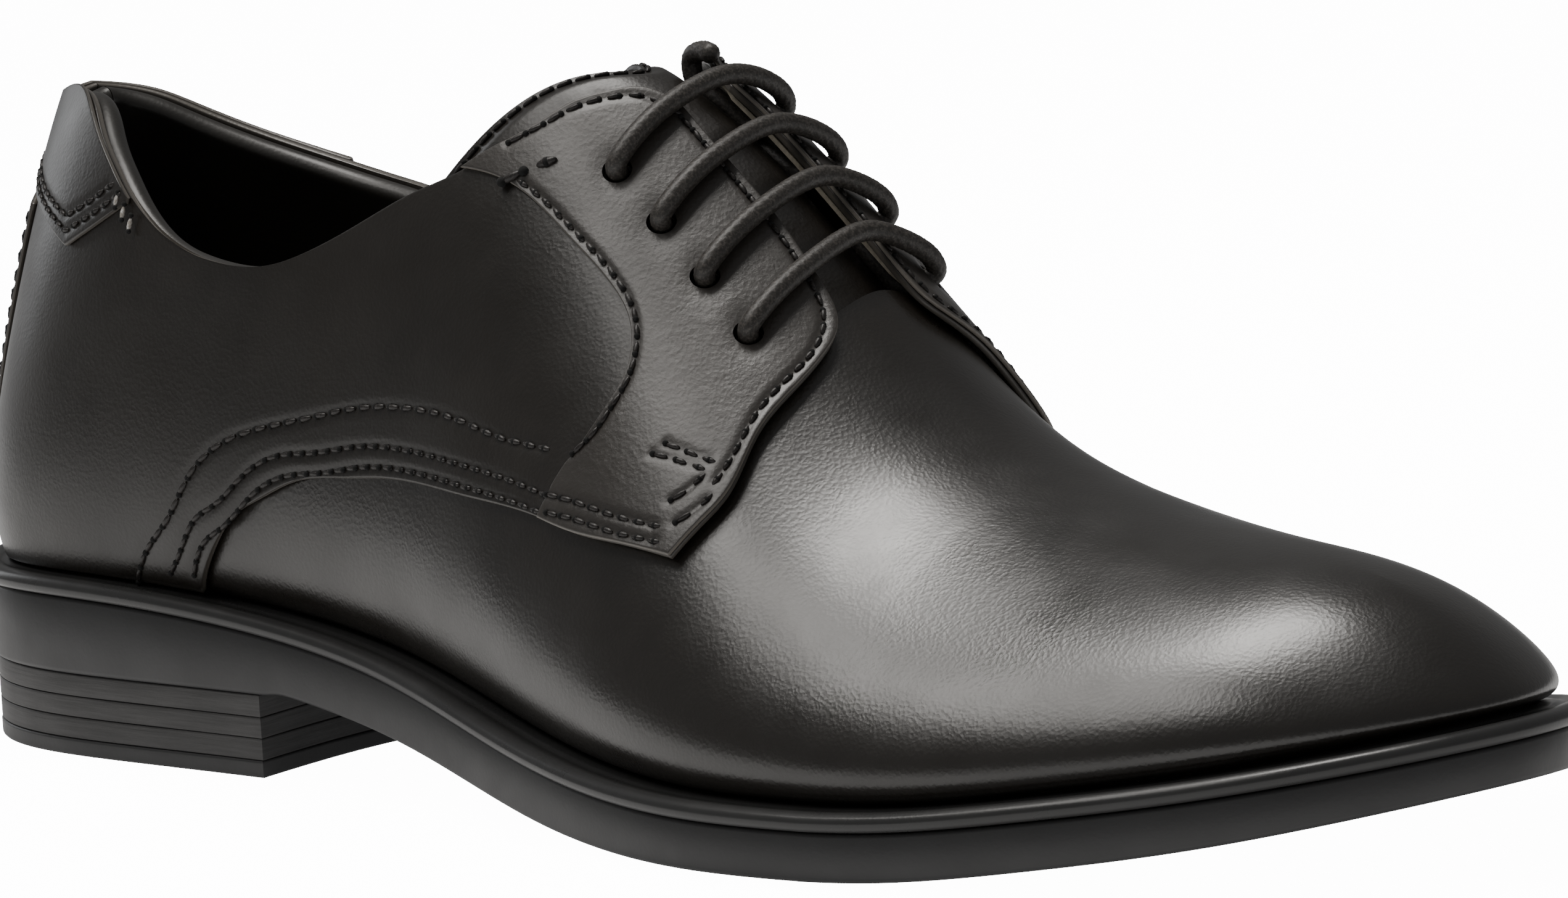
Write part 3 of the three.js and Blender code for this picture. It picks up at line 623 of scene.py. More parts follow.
def plain_board(name, colour, scale, contrast, roughness, metallic=0.0):
    """Cork, fibreboard, tape, foam or steel inside the shoe."""
    made, tree, shader, where = new_finish(name)
    cells = add(tree, "ShaderNodeTexVoronoi", Vector=where, Scale=scale)
    dark = tuple(c * (1 - contrast) for c in colour)
    tone = mix_colour(tree, cells.outputs["Distance"], dark, colour)
    tree.links.new(tone, shader.inputs["Base Color"])
    bump(tree, shader, cells.outputs["Distance"], 0.05)
    shader.inputs["Roughness"].default_value = roughness
    shader.inputs["Metallic"].default_value = metallic
    return made


def chosen_colours():
    """The colours set in the panel, by name."""
    kept = bpy.context.scene.shoe_colours
    return {key: tuple(getattr(kept, key)) for key in ShoeColours.__annotations__}


def finishes():
    """How each finish is made, by its name."""
    tone = chosen_colours()
    sizes = bpy.context.scene.shoe_sizes
    grain = 1000 / sizes.grain
    return {
        "upper_leather": lambda n: leather(n, tone["upper"], grain, 0.06, 0.37, edge=0.3, polish=0.6),
        "vamp_leather": lambda n: leather(n, tone["upper"], grain, 0.055, 0.29, polish=0.8),
        "facing_leather": lambda n: leather(
            n, tone["facing"], grain * 0.8, 0.14, 0.4, edge=0.9, creases=0.7, polish=0.7,
        ),
        "lining_leather": lambda n: leather(n, tone["lining"], grain, 0.03, 0.62, polish=0.3),
        "rim_leather": lambda n: leather(n, tone["lining"], grain, 0.04, 0.4),
        "thread": lambda n: cord_finish(n, tone["thread"], 0.42),
        "pale_thread": lambda n: cord_finish(n, tone["raw_edge"], 0.6),
        # painted shade: a near-black finish for the beads that stand in for needle holes
        "needle_hole": lambda n: cord_finish(n, (0.003, 0.003, 0.003), 0.9),
        # the lace's pale specks are painted glints, a painted highlight
        "lace": lambda n: cord_finish(n, tone["lace"], 0.45, glints=0.75),
        "sole_rubber": lambda n: rubber(n, tone["sole"], 0.4),
        "heel_rubber": lambda n: rubber(n, tone["heel"], 0.5, 0.8, 0.1),
        "welt_rubber": lambda n: rubber(n, tone["welt"], 0.3),
        "cork": lambda n: plain_board(n, (0.42, 0.28, 0.15), 600, 0.5, 0.9),
        "fibreboard": lambda n: plain_board(n, (0.45, 0.33, 0.21), 1500, 0.25, 0.85),
        "tape": lambda n: plain_board(n, (0.5, 0.45, 0.36), 1800, 0.3, 0.9),
        "foam": lambda n: plain_board(n, (0.06, 0.06, 0.06), 1400, 0.6, 0.95),
        "steel": lambda n: plain_board(n, (0.5, 0.5, 0.52), 2500, 0.1, 0.35, 1.0),
    }


def material(name):
    """The finish of that name, made the first time it is asked for."""
    title = f"finish_{name}"
    return bpy.data.materials.get(title) or finishes()[name](title)


# ---- Uppers --------------------------------------------------------------------------------
def row(side, off, *points, count=160):
    """A line on the last in space, through (round, up) points of the outer side."""
    place, up = path(*facing_line(side, points))(np.linspace(0, 1, count))
    return on_last(side * place, up, off)


def shifted(points, by_round, by_up):
    """The same line, moved along and up."""
    return [(a + by_round, q + by_up) for a, q in points]


OUTER_ROW = [
    (0.194, 0), (0.209, 0.03), (0.226, 0.06), (0.24, 0.1), (0.285, 0.17), (0.316, 0.2), (0.358, 0.24),
    (0.386, 0.26), (0.432, 0.29), (0.463, 0.31), (0.496, 0.345),
]
MIDDLE_ROW = [
    (0.219, 0.01), (0.23, 0.03), (0.242, 0.06), (0.257, 0.08), (0.278, 0.12), (0.299, 0.15), (0.325, 0.17),
    (0.354, 0.195), (0.392, 0.22), (0.44, 0.25), (0.484, 0.285), (0.504, 0.3),
]
FACING_ROW = [(0.508, 0.305), (0.527, 0.325), (0.553, 0.35), (0.577, 0.38)]
SEAM_ROW = [
    (0.517, 0.37), (0.525, 0.41), (0.53, 0.46), (0.532, 0.51), (0.529, 0.545), (0.523, 0.57), (0.505, 0.59),
    (0.472, 0.592), (0.444, 0.593), (0.435, 0.592),
]
TOP_ROW = [(0.418, 0.63), (0.431, 0.685), (0.442, 0.75), (0.453, 0.805), (0.463, 0.845), (0.478, 0.868)]
OPENING_ROW = [
    (0.482, 0.868), (0.51, 0.862), (0.545, 0.86), (0.575, 0.85), (0.592, 0.828), (0.599, 0.78), (0.599, 0.7),
    (0.597, 0.61), (0.598, 0.54), (0.597, 0.5),
]
CORNER_ROWS = [
    [(0.58, 0.425), (0.585, 0.45), (0.589, 0.48)], [(0.587, 0.405), (0.592, 0.43), (0.597, 0.465)],
    [(0.565, 0.48), (0.578, 0.497), (0.589, 0.512)], [(0.561, 0.455), (0.574, 0.475), (0.586, 0.492)],
]
PATCH_ROWS = [
    [
        (0, 0.617), (0.05, 0.585), (0.103, 0.518), (0.143, 0.433), (0.143, 0.433), (0.165, 0.437),
        (0.179, 0.448),
    ],
    [
        (0, 0.634), (0.05, 0.602), (0.101, 0.536), (0.141, 0.456), (0.141, 0.456), (0.16, 0.458),
        (0.173, 0.468),
    ],
]


ROW_SPACING = 0.018  # between the two rows of a double seam, as a share of the height


def quarter_rows(side, sink=0.0):
    """The stitched lines on a quarter: one row high up and two along its lower edge."""
    lower = shifted(MIDDLE_ROW, 0.005, -ROW_SPACING)[1:]
    return [row(side, QUARTER[0] - sink, *points) for points in (OUTER_ROW, MIDDLE_ROW, lower)]


def facing_rows(side, sink=0.0):
    """The stitched lines on a facing: its seam, top, opening, foot and front corner."""
    lower = shifted(FACING_ROW, 0.003, -ROW_SPACING)
    rows = [SEAM_ROW, TOP_ROW, OPENING_ROW, FACING_ROW, lower, *CORNER_ROWS]
    return [row(side, FACING[0] - sink, *points, count=80) for points in rows]


def patch_rows(sink=0.0):
    """The double rows along the collar patch's lower edge, which come down in two points."""
    rows = []
    for points in PATCH_ROWS:
        for reach in (1.0, -INNER_PATCH):
            rows.append(row(1, PATCH[0] - sink, *[(reach * a, q) for a, q in points], count=80))
    return rows


def strip_rows(sink=0.0):
    """One row along each side of the back strip."""
    return [row(1, STRIP[0] - sink, (side * 0.046, 0.01), (side * 0.062, 0.5), count=60) for side in (1, -1)]


def eyelet_dents(place, up):
    """The leather dips round each punched hole."""
    depth = np.zeros_like(place)
    side = 1 if place.mean() > 0 else -1
    for a, q in facing_line(side, EYELETS):
        away = np.hypot((np.abs(place) - a) * 345, (up - q) * 92)
        depth += 0.45 * np.exp(-((away / 3.0) ** 2))
    return -depth


def punch(item, side):
    """Cuts the eyelet holes through a piece."""
    radius = bpy.context.scene.shoe_sizes.eyelet / 2000
    work = bmesh.new()
    for a, q in facing_line(side, EYELETS):
        low, high = on_last(side * a, q, -5) + OFFSET, on_last(side * a, q, 7) + OFFSET
        turn = Vector(high - low).to_track_quat("Z", "Y").to_matrix().to_4x4()
        place = Matrix.Translation(Vector((low + high) / 2000)) @ turn
        bmesh.ops.create_cone(
            work, cap_ends=True, segments=28, radius1=radius, radius2=radius, depth=0.012, matrix=place,
        )
    mesh = bpy.data.meshes.new("punch")
    work.to_mesh(mesh)
    work.free()
    tool = bpy.data.objects.new("punch", mesh)
    bpy.context.scene.collection.objects.link(tool)
    cut = item.modifiers.new("Holes", "BOOLEAN")
    cut.operation = "DIFFERENCE"
    cut.object = tool
    cut.solver = "EXACT"
    plain = evaluated(item)
    bpy.data.objects.remove(tool)
    plain.data.set_sharp_from_angle(angle=math.radians(40))
    return plain


SIDES = ((1, "lateral"), (-1, "medial"))


def build_quarter(side, label):
    """One quarter, with its lace holes."""
    seam = 0.00045
    lines = between(
        path((seam, 0), (0.12, 0), *ARCH[:1], *ARCH),
        path((seam, 0.71), *TOPLINES[side][1:], *facing_line(side, FACING_TOP)),
        path((seam, 0), (seam, 0.4), (seam, 0.71)),
        path(*facing_line(side, FACING_FRONT)),
    )
    item = wall(
        f"quarter_{label}", lines, (235, 95), QUARTER, "upper_leather", grooves=quarter_rows(side), side=side,
        spacing=1.0,
    )
    fit(punch(item, side), "shoe", "upper_leather", f"quarter_{label}")


def build_facing(side, label):
    """One facing, sewn over the quarter's front, with its lace holes."""
    lines = between(
        path(*ARCH_FRONT), path(TOPLINE_FRONT[-1], *facing_line(side, FACING_TOP)), path(*SEAM),
        path(*facing_line(side, FACING_FRONT)),
    )
    item = wall(
        f"facing_{label}", lines, (48, 74), FACING, "facing_leather", grooves=facing_rows(side), side=side,
        spacing=0.6, lift=eyelet_dents,
    )
    fit(punch(item, side), "shoe", "facing_leather", f"facing_{label}")


def topline_at(place):
    """How high the topline is at each place round the heel, either side."""
    outer, inner = spline(TOPLINES[1]), spline(TOPLINES[-1])
    return np.where(place > 0, outer(np.abs(place)), inner(np.abs(place)))


def patch_place(u, v):
    """The collar's patch, from the inner side round the heel to the outer side."""
    half = path(*PATCH_EDGE)
    place, low = half(np.abs(2 * u - 1))
    place = np.where(u < 0.5, -place * INNER_PATCH, place)
    high = topline_at(place)
    return place, high - np.maximum(high - low, 0.008) * (1 - v)


def strip_place(u, v):
    """The strip over the back seam."""
    place = (0.05 + 0.018 * v) * (2 * u - 1)
    return place, STRIP_TOP(np.abs(place)) * v


def build_vamp():
    """The vamp wraps the toe in one sheet; its columns crowd towards the toe, where the turn is tight."""
    half, middle = (VAMP[0] - VAMP[1]) / 2, (VAMP[0] + VAMP[1]) / 2
    us = np.linspace(0, 1, 190)
    vs, kv = edge_steps(210, 230, half)
    u, v = np.meshgrid(us, vs, indexing="ij")
    up = 1 - np.abs(2 * v - 1)
    rear = VAMP_REAR(up)
    forward = (u + np.sin(u * math.pi / 2)) / 2
    place = np.where(v < 0.5, 1, -1) * (rear + (1 - rear) * forward)
    up = np.minimum(up, 0.9995)
    base, normal = skin(place, up), normal_at(place, up)
    base = soften(base, smooth_step(up, 0.72, 0.95))
    rolled = np.broadcast_to(kv, up.shape)
    outer = base + normal * (middle + half * rolled)[..., None]
    inner = base + normal * (middle - half * rolled)[..., None]
    faces = np.concatenate([
        grid_faces(*up.shape), grid_faces(*up.shape, up.size, flip=True), rear_edge(up.shape[1], up.size),
    ])
    points = np.concatenate([outer.reshape(-1, 3), inner.reshape(-1, 3)])
    fit(mesh_object("vamp", points, faces, "vamp_leather"), "shoe", "upper_leather", "vamp")


def rear_edge(columns, start):
    """The faces that close the vamp's rear edge, between its outer and inner face."""
    j = np.arange(columns - 1)
    return np.stack([j + 1, j, j + start, j + 1 + start], -1)


def soften(points, share, spread=5):
    """Evens out the ridge's line across the sheet."""
    reach = np.arange(-3 * spread, 3 * spread + 1)
    weight = np.exp(-((reach / spread) ** 2) / 2)
    weight /= weight.sum()
    count = points.shape[1]
    even = sum(w * points[:, np.clip(np.arange(count) + r, 0, count - 1)] for r, w in zip(reach, weight))
    return points + (even - points) * share[..., None]


# ---- Linings and tongue ----------------------------------------------------------------------
ROLL_MIDDLE = -1.65  # the rolled rim's middle, out from the last
ROLL_OUTSIDE = 2.05
ROLL_INSIDE = 1.25
ROLL_ABOVE = 0.35  # how far the rim stands over the quarter's edge
ROLL_TURN = math.pi * 0.97
ROLL_END = (0.375, 0.4)  # the places round between which the roll runs out


def height_step(place, up, step=0.01):
    """Millimetres of surface for each unit of up."""
    climbed = skin(place, up + step) - skin(place, up - step)
    return np.linalg.norm(climbed, axis=-1) / (2 * step)


def build_lining(side, label):
    """The lining climbs the wall and rolls outwards over the padded rim, behind the quarter's edge."""
    seam = 0.0014
    lines = between(
        path((seam, 0), (0.15, 0), (0.3, 0), (0.45, 0), (0.597, 0)),
        path((seam, 0.71), *TOPLINES[side][1:], (0.44, 0.59), (0.52, 0.57), (0.56, 0.55), (0.597, 0.5)),
        path((seam, 0), (seam, 0.4), (seam, 0.71)),
        path((0.597, 0), (0.597, 0.25), (0.597, 0.5)),
    )
    u, v = np.meshgrid(np.linspace(0, 1, 170), np.linspace(0, 1, 50), indexing="ij")
    place, up = lines(u, v)
    top, edge = up[:, -1:], place[:, -1:]
    climb = height_step(side * edge, top)
    centre = top - (ROLL_OUTSIDE - ROLL_ABOVE) / climb
    up = up * centre / top
    rolls = 1 - smooth_step(edge, *ROLL_END)
    turn = np.linspace(0, ROLL_TURN, 16)[1:][None, :] * rolls
    faces = []
    for radius, off in ((ROLL_OUTSIDE, LINING[1]), (ROLL_INSIDE, LINING[0])):
        wall_part = on_last(side * place, up, np.full_like(up, off))
        rim_up = centre + radius * np.sin(turn) / climb
        rim = on_last(side * np.broadcast_to(edge, turn.shape), rim_up, ROLL_MIDDLE - radius * np.cos(turn))
        faces.append(np.concatenate([wall_part, rim], 1))
    item = folded_tube(f"quarter_lining_{label}", faces[0], faces[1], "rim_leather")
    fit(item, "shoe", "lining_leather", f"quarter_lining_{label}")


LINING_REAR = 0.6


def build_vamp_lining():
    """The lining under the vamp, from the toe back to the quarters' linings."""
    us, vs = np.linspace(0, 1, 90), np.linspace(0, 1, 141)
    u, v = np.meshgrid(us, vs, indexing="ij")
    up = 1 - np.abs(2 * v - 1)
    forward = (u + np.sin(u * math.pi / 2)) / 2
    place = np.where(v < 0.5, 1, -1) * (LINING_REAR + (1 - LINING_REAR) * forward)
    up = np.minimum(up, 0.9995)
    base, normal = skin(place, up), normal_at(place, up)
    points = np.concatenate([(base + normal * off).reshape(-1, 3) for off in LINING])
    rows, columns = up.shape
    j = np.arange(rows - 1) * columns
    sides = [np.stack([j, j + columns, j + columns + up.size, j + up.size], -1) + k for k in (0, columns - 1)]
    faces = np.concatenate([
        grid_faces(rows, columns), grid_faces(rows, columns, up.size, flip=True), rear_edge(columns, up.size),
        *sides,
    ])
    fit(mesh_object("vamp_lining", points, faces, "lining_leather"), "shoe", "lining_leather", "vamp_lining")


TONGUE_HALF = spline([(0, 0.4), (0.3, 0.37), (0.7, 0.41), (1, 0.47)])
TONGUE_FROM = 0.607
TONGUE_TO = 0.43
TONGUE_CORNER = 0.08
TONGUE_CROWN = 1.5
TONGUE_LENGTH = 72
TONGUE_REACH = 42  # from its middle to each side edge
TONGUE_ROW_START = 0.45


def tongue_place(share, across):
    """A place on the tongue: share runs from its sewn end to its top, across from side to side."""
    half = TONGUE_HALF(share)
    back = TONGUE_CORNER * (np.hypot(across, 0.15) - 0.15) * share
    place = TONGUE_FROM + (TONGUE_TO - TONGUE_FROM) * share - back
    crown = TONGUE_CROWN * np.maximum(0, 1 - (across * half / 0.17) ** 2) * np.sin(math.pi * share)
    up = np.minimum(1 - np.abs(across) * half, 0.9995)
    return np.where(across < 0, 1, -1) * place, up, crown - TONGUE_DEPTH


def tongue_sheet(name, face, thick, padding, finish, grooves=None):
    """One layer of the tongue with rolled edges, padded inside its stitched row."""
    half = thick / 2
    us, ku = edge_steps(110, TONGUE_LENGTH, half)
    vs, kv = edge_steps(100, 85, half)
    u, v = np.meshgrid(us, vs, indexing="ij")
    share, across = u, 2 * v - 1
    place, up, lift = tongue_place(share, across)
    rolled = np.minimum.outer(ku, kv)
    inside = np.minimum((1 - share) * TONGUE_LENGTH, (1 - np.abs(across)) * TONGUE_REACH)
    pad = padding * (smooth_step(inside, 2.0, 5.5) - 0.25 * smooth_step(inside, 7, 16))
    base, normal = skin(place, up), normal_at(place, up)
    off = lift - face - half + half * rolled + pad * rolled
    if grooves is not None:
        off = off - groove_depth(base + normal * off[..., None], grooves)
    outer = base + normal * off[..., None]
    inner = base + normal * (lift - face - half - half * rolled)[..., None]
    points = np.concatenate([outer.reshape(-1, 3), inner.reshape(-1, 3)])
    faces = np.concatenate([grid_faces(*u.shape), grid_faces(*u.shape, u.size, flip=True)])
    return mesh_object(name, points, faces, finish)


def tongue_row(inset=1.6):
    """The stitched line inside the tongue's edge."""
    s = np.linspace(0, 1, 60)
    top = 1 - inset / TONGUE_LENGTH
    across = 1 - inset / TONGUE_REACH
    climb = TONGUE_ROW_START + (top - TONGUE_ROW_START) * s
    share = np.concatenate([climb, np.full(60, top), climb[::-1]])
    over = np.concatenate([np.full(60, -across), across * (2 * s - 1), np.full(60, across)])
    place, up, lift = tongue_place(share, over)
    return skin(place, up) + normal_at(place, up) * lift[:, None]


def build_tongue():
    """The padded tongue and the lining under it, on the tongue's own body."""
    outer = tongue_sheet("tongue", 0, 1.5, 0.9, "upper_leather", [tongue_row()])
    fit(outer, "tongue", "upper_leather", "tongue")
    under = tongue_sheet("tongue_lining", 1.8, 0.8, 0, "lining_leather")
    fit(under, "tongue", "lining_leather", "tongue_lining")


def build_sock():
    """The leather sock that covers the footbed, slightly dished."""
    inset = -LINING[1] + 0.6
    shares = 0.5 - 0.5 * np.cos(np.linspace(0, math.pi, 120))
    v = np.linspace(0, 1, 41)
    xa, ya, *_ = plan(shares, -inset)
    xb, yb, *_ = plan(-shares, -inset)
    x = xa[:, None] + (xb - xa)[:, None] * v
    y = ya[:, None] + (yb - ya)[:, None] * v
    low = feather_height(x) + 2.3
    dish = 0.5 * np.sin(math.pi * v) * np.ones_like(x)
    top = np.stack([x, y, low + 2.2 - dish], -1)
    item = folded_tube("sock", top, np.stack([x, y, low], -1), "lining_leather")
    fit(item, "shoe", "lining_leather", "sock")


def build_patch():
    """The patch round the back of the collar."""
    rows = patch_rows() + strip_rows()
    patch = wall("collar_patch", patch_place, (130, 26), PATCH, "upper_leather", grooves=rows, spacing=0.7)
    fit(patch, "shoe", "upper_leather", "collar_patch")


def build_strip():
    """The narrow strip over the back seam."""
    rows = strip_rows()
    strip = wall("back_strip", strip_place, (20, 62), STRIP, "upper_leather", grooves=rows, spacing=0.45)
    fit(strip, "shoe", "upper_leather", "back_strip")


# ---- Stitching -----------------------------------------------------------------------------
def stitch_tree():
    """Lays stitches along curves, and at each end of every stitch a near-black bead as the needle hole's
    painted shade.
    """
    tree = bpy.data.node_groups.new("Stitches", "GeometryNodeTree")
    face = tree.interface
    face.new_socket("Geometry", in_out="INPUT", socket_type="NodeSocketGeometry")
    for name, start in (("Pitch", 0.0029), ("Length", 0.0024), ("Thread", 0.0008), ("Hole", 0.001)):
        face.new_socket(name, in_out="INPUT", socket_type="NodeSocketFloat").default_value = start
    face.new_socket("Thread finish", in_out="INPUT", socket_type="NodeSocketMaterial")
    face.new_socket("Hole finish", in_out="INPUT", socket_type="NodeSocketMaterial")
    face.new_socket("Geometry", in_out="OUTPUT", socket_type="NodeSocketGeometry")
    given = tree.nodes.new("NodeGroupInput").outputs
    result = tree.nodes.new("NodeGroupOutput")

    def along(curve, start):
        """Points along the curve, turned to follow it and to stand on the leather."""
        trimmed = add(tree, "GeometryNodeTrimCurve", _mode="LENGTH", Curve=curve)
        trimmed.inputs[4].default_value = 0.0
        tree.links.new(start, trimmed.inputs[4])
        trimmed.inputs[5].default_value = 10.0
        spaced = add(tree, "GeometryNodeCurveToPoints", _mode="LENGTH", Curve=trimmed.outputs[0])
        tree.links.new(given["Pitch"], spaced.inputs["Length"])
        return spaced

    def bead(long, wide, high, jitter):
        """One thread stitch, or a needle hole's near-black bead of painted shade, on each point."""
        ball = add(tree, "GeometryNodeMeshUVSphere", Segments=8, Rings=5, Radius=0.5)
        smooth = add(tree, "GeometryNodeSetShadeSmooth", Geometry=ball.outputs[0])
        size = add(tree, "ShaderNodeCombineXYZ")
        for socket, value in zip(size.inputs, (wide, high, long)):
            tree.links.new(value, socket)
        sized = add(tree, "GeometryNodeTransform", Geometry=smooth.outputs[0])
        tree.links.new(size.outputs[0], sized.inputs["Scale"])
        wobble = add(tree, "FunctionNodeRandomValue", _data_type="FLOAT_VECTOR", Seed=11)
        wobble.inputs[0].default_value = (-jitter, -jitter, -jitter)
        wobble.inputs[1].default_value = (jitter, jitter, jitter)
        return sized.outputs[0], wobble.outputs[0]

    def lay(spaced, shape, wobble, finish):
        turned = add(tree, "FunctionNodeRotateRotation", _rotation_space="LOCAL")
        tree.links.new(spaced.outputs["Rotation"], turned.inputs["Rotation"])
        tree.links.new(wobble, turned.inputs[1])
        placed = add(tree, "GeometryNodeInstanceOnPoints", Points=spaced.outputs["Points"])
        tree.links.new(shape, placed.inputs["Instance"])
        tree.links.new(turned.outputs[0], placed.inputs["Rotation"])
        real = add(tree, "GeometryNodeRealizeInstances", Geometry=placed.outputs[0])
        painted = add(tree, "GeometryNodeSetMaterial", Geometry=real.outputs[0])
        tree.links.new(finish, painted.inputs["Material"])
        return painted.outputs[0]

    half = add(tree, "ShaderNodeMath", _operation="MULTIPLY", in_0=given["Pitch"], in_1=0.5).outputs[0]
    nothing = add(tree, "ShaderNodeMath", _operation="MULTIPLY", in_0=given["Pitch"], in_1=0.0).outputs[0]
    thread, wobble = bead(given["Length"], given["Thread"], given["Thread"], 0.09)
    stitches = lay(along(given["Geometry"], half), thread, wobble, given["Thread finish"])
    # painted shade: a near-black bead at each needle hole
    dark, still = bead(given["Hole"], given["Hole"], given["Hole"], 0.0)
    holes = lay(along(given["Geometry"], nothing), dark, still, given["Hole finish"])
    joined = tree.nodes.new("GeometryNodeJoinGeometry")
    tree.links.new(holes, joined.inputs[0])
    tree.links.new(stitches, joined.inputs[0])
    tree.links.new(joined.outputs[0], result.inputs[0])
    return tree


def stitched(name, body, lines, pitch, length, thread, finish="thread"):
    """One plain mesh of stitches, along every line given in millimetres."""
    curve = bpy.data.curves.new(name, "CURVE")
    curve.dimensions = "3D"
    for line in lines:
        points = resample(line, 0.8)
        run = curve.splines.new("POLY")
        run.points.add(len(points) - 1)
        run.points.foreach_set("co", np.c_[(points + OFFSET) / 1000, np.ones(len(points))].ravel())
    item = bpy.data.objects.new(name, curve)
    bpy.context.scene.collection.objects.link(item)
    nodes = item.modifiers.new("Stitches", "NODES")
    nodes.node_group = bpy.data.node_groups.get("Stitches") or stitch_tree()
    sizes = {
        "Pitch": pitch / 1000, "Length": length / 1000, "Thread": thread / 1000, "Hole": thread * 1.15 / 1000,
        "Thread finish": material(finish), "Hole finish": material("needle_hole"),
    }
    for socket in nodes.node_group.interface.items_tree:
        if socket.in_out == "INPUT" and socket.name in sizes:
            nodes[socket.identifier] = sizes[socket.name]
    plain = evaluated(item)
    bpy.data.curves.remove(curve)
    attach(plain, body)
    return plain


STITCH_SHARE = 0.86  # of the way from one hole to the next, covered by thread
TONGUE_OUT = np.array([-0.45, 0, 0.89])  # straight out of the tongue's face
THREAD_SINK = 0.12  # how far the thread's middle lies under the leather's face
STRIP_SINK = 0.1


def build_stitching():
    """All the visible rows, in one mesh for each kind of thread and stitch."""
    sizes = bpy.context.scene.shoe_sizes
    thread = sizes.thread
    wide, close = [], []
    for side, _ in SIDES:
        outer, *double = quarter_rows(side, THREAD_SINK)
        wide.append(outer)
        close += double + facing_rows(side, THREAD_SINK)
    close += patch_rows(THREAD_SINK) + strip_rows(STRIP_SINK)
    pitch = sizes.stitch_pitch
    stitched("stitches_upper", "shoe", close, pitch, pitch * STITCH_SHARE, thread)
    stitched("stitches_outer_row", "shoe", wide, pitch * 1.17, pitch * 0.98, thread * 1.1)
    bars = []
    for side, _ in SIDES:
        bars.append(row(side, FACING[0] + 0.1, (0.424, 0.575), (0.443, 0.64), count=20))
    stitched("bar_tacks", "shoe", bars, 3.4, 3.6, thread * 1.7)
    rims = []
    for side, places in ((1, (0.18, 0.186, 0.192)), (-1, (0.15, 0.158, 0.166))):
        for place in places:
            high = float(topline_at(np.array(side * place)))
            rims.append(on_last(side * place, np.array([high - 0.035, high - 0.012]), 2.6))
    stitched("rim_tacks", "shoe", rims, 2.2, 2.2, thread * 0.9, "pale_thread")
    line = tongue_row() - THREAD_SINK * TONGUE_OUT
    stitched("stitches_tongue", "tongue", [line], pitch, pitch * STITCH_SHARE, thread)


# ---- Lace ----------------------------------------------------------------------------------
LACE_UNDER = -2.55
LACE_OVER = FACING[0] + 1.75


def lace_route():
    """The lace's way through the holes, as (round, up, off) points."""
    holes = [list(h) for h in EYELETS]

    def down(hole, toe):
        r, u = hole
        return [[r, u, LACE_OVER - 0.9], [r, u, 1.2], [r, u, -0.7], [r + toe * 0.3, u, LACE_UNDER + 0.2]]

    def across(hole):
        r, u = hole
        far = inner(hole)[1]
        return [
            [r, u + 0.035, LACE_OVER], [r, u + 0.13, LACE_OVER - 0.1], [r, 1, LACE_OVER - 0.1],
            [r, far - 0.13, LACE_OVER + 0.2], [r, far - 0.035, LACE_OVER + 0.2],
        ]

    def inner(hole):
        return [hole[0], 2 - facing_line(-1, [hole])[0][1]]

    under = LACE_UNDER
    h1, h2, h3, h4 = holes
    return [
        [0.462, 1.31, under], [0.48, 1.29, under], [0.495, 1.26, under],
        *down(inner(h2), -0.02)[::-1], *across(h2)[::-1], *down(h2, 0.02),
        [0.52, 0.665, under], [0.545, 0.65, under], [0.562, 0.665, under],
        *down(h4, -0.02)[::-1], *across(h4), *down(inner(h4), -0.02),
        [0.557, 1.23, under],
        *down(inner(h3), -0.02)[::-1], *across(h3)[::-1], *down(h3, -0.02),
        [0.528, 0.735, under], [0.508, 0.76, under], [0.488, 0.74, under],
        *down(h1, 0.02)[::-1], *across(h1), *down(inner(h1), -0.02),
        [0.459, 1.19, under], [0.445, 1.16, under + 0.2], [0.442, 1.12, 0.2], [0.45, 1.08, 2.4],
        [0.46, 1.05, 3.6],
    ]


def through(points, step):
    """A smooth line through every point, in even steps."""
    p = np.asarray(points, float)
    p = np.concatenate([[2 * p[0] - p[1]], p, [2 * p[-1] - p[-2]]])
    made = []
    for i in range(1, len(p) - 2):
        apart = np.linalg.norm(np.diff(p[i - 1:i + 3], axis=0), axis=1)
        knots = np.concatenate([[0], np.cumsum(np.sqrt(apart))])
        t = np.linspace(knots[1], knots[2], 40, endpoint=False)[:, None]
        level = [np.broadcast_to(q, (40, 3)) for q in p[i - 1:i + 3]]
        for span in (1, 2, 3):
            ends = [(knots[k], knots[k + span]) for k in range(4 - span)] if span < 3 else [knots[1:3]]
            level = [((b - t) * q + (t - a) * r) / (b - a) for (a, b), q, r in zip(ends, level, level[1:])]
        made.append(level[0])
    return resample(np.concatenate([*made, p[-2:-1]]), step)


def braid_height(along, turn, strands=8, pitch=7.0):
    """How far each spot of the braid stands out: strands of two directions pass over and under."""
    bend = 2 * math.pi / pitch
    right = strands / 2 * turn + along * bend * strands / 4
    left = strands / 2 * turn - along * bend * strands / 4
    over = 0.5 + 0.5 * np.sin(right) * np.sin(left)
    return np.maximum(np.abs(np.cos(right)) * over, np.abs(np.cos(left)) * (1 - over))


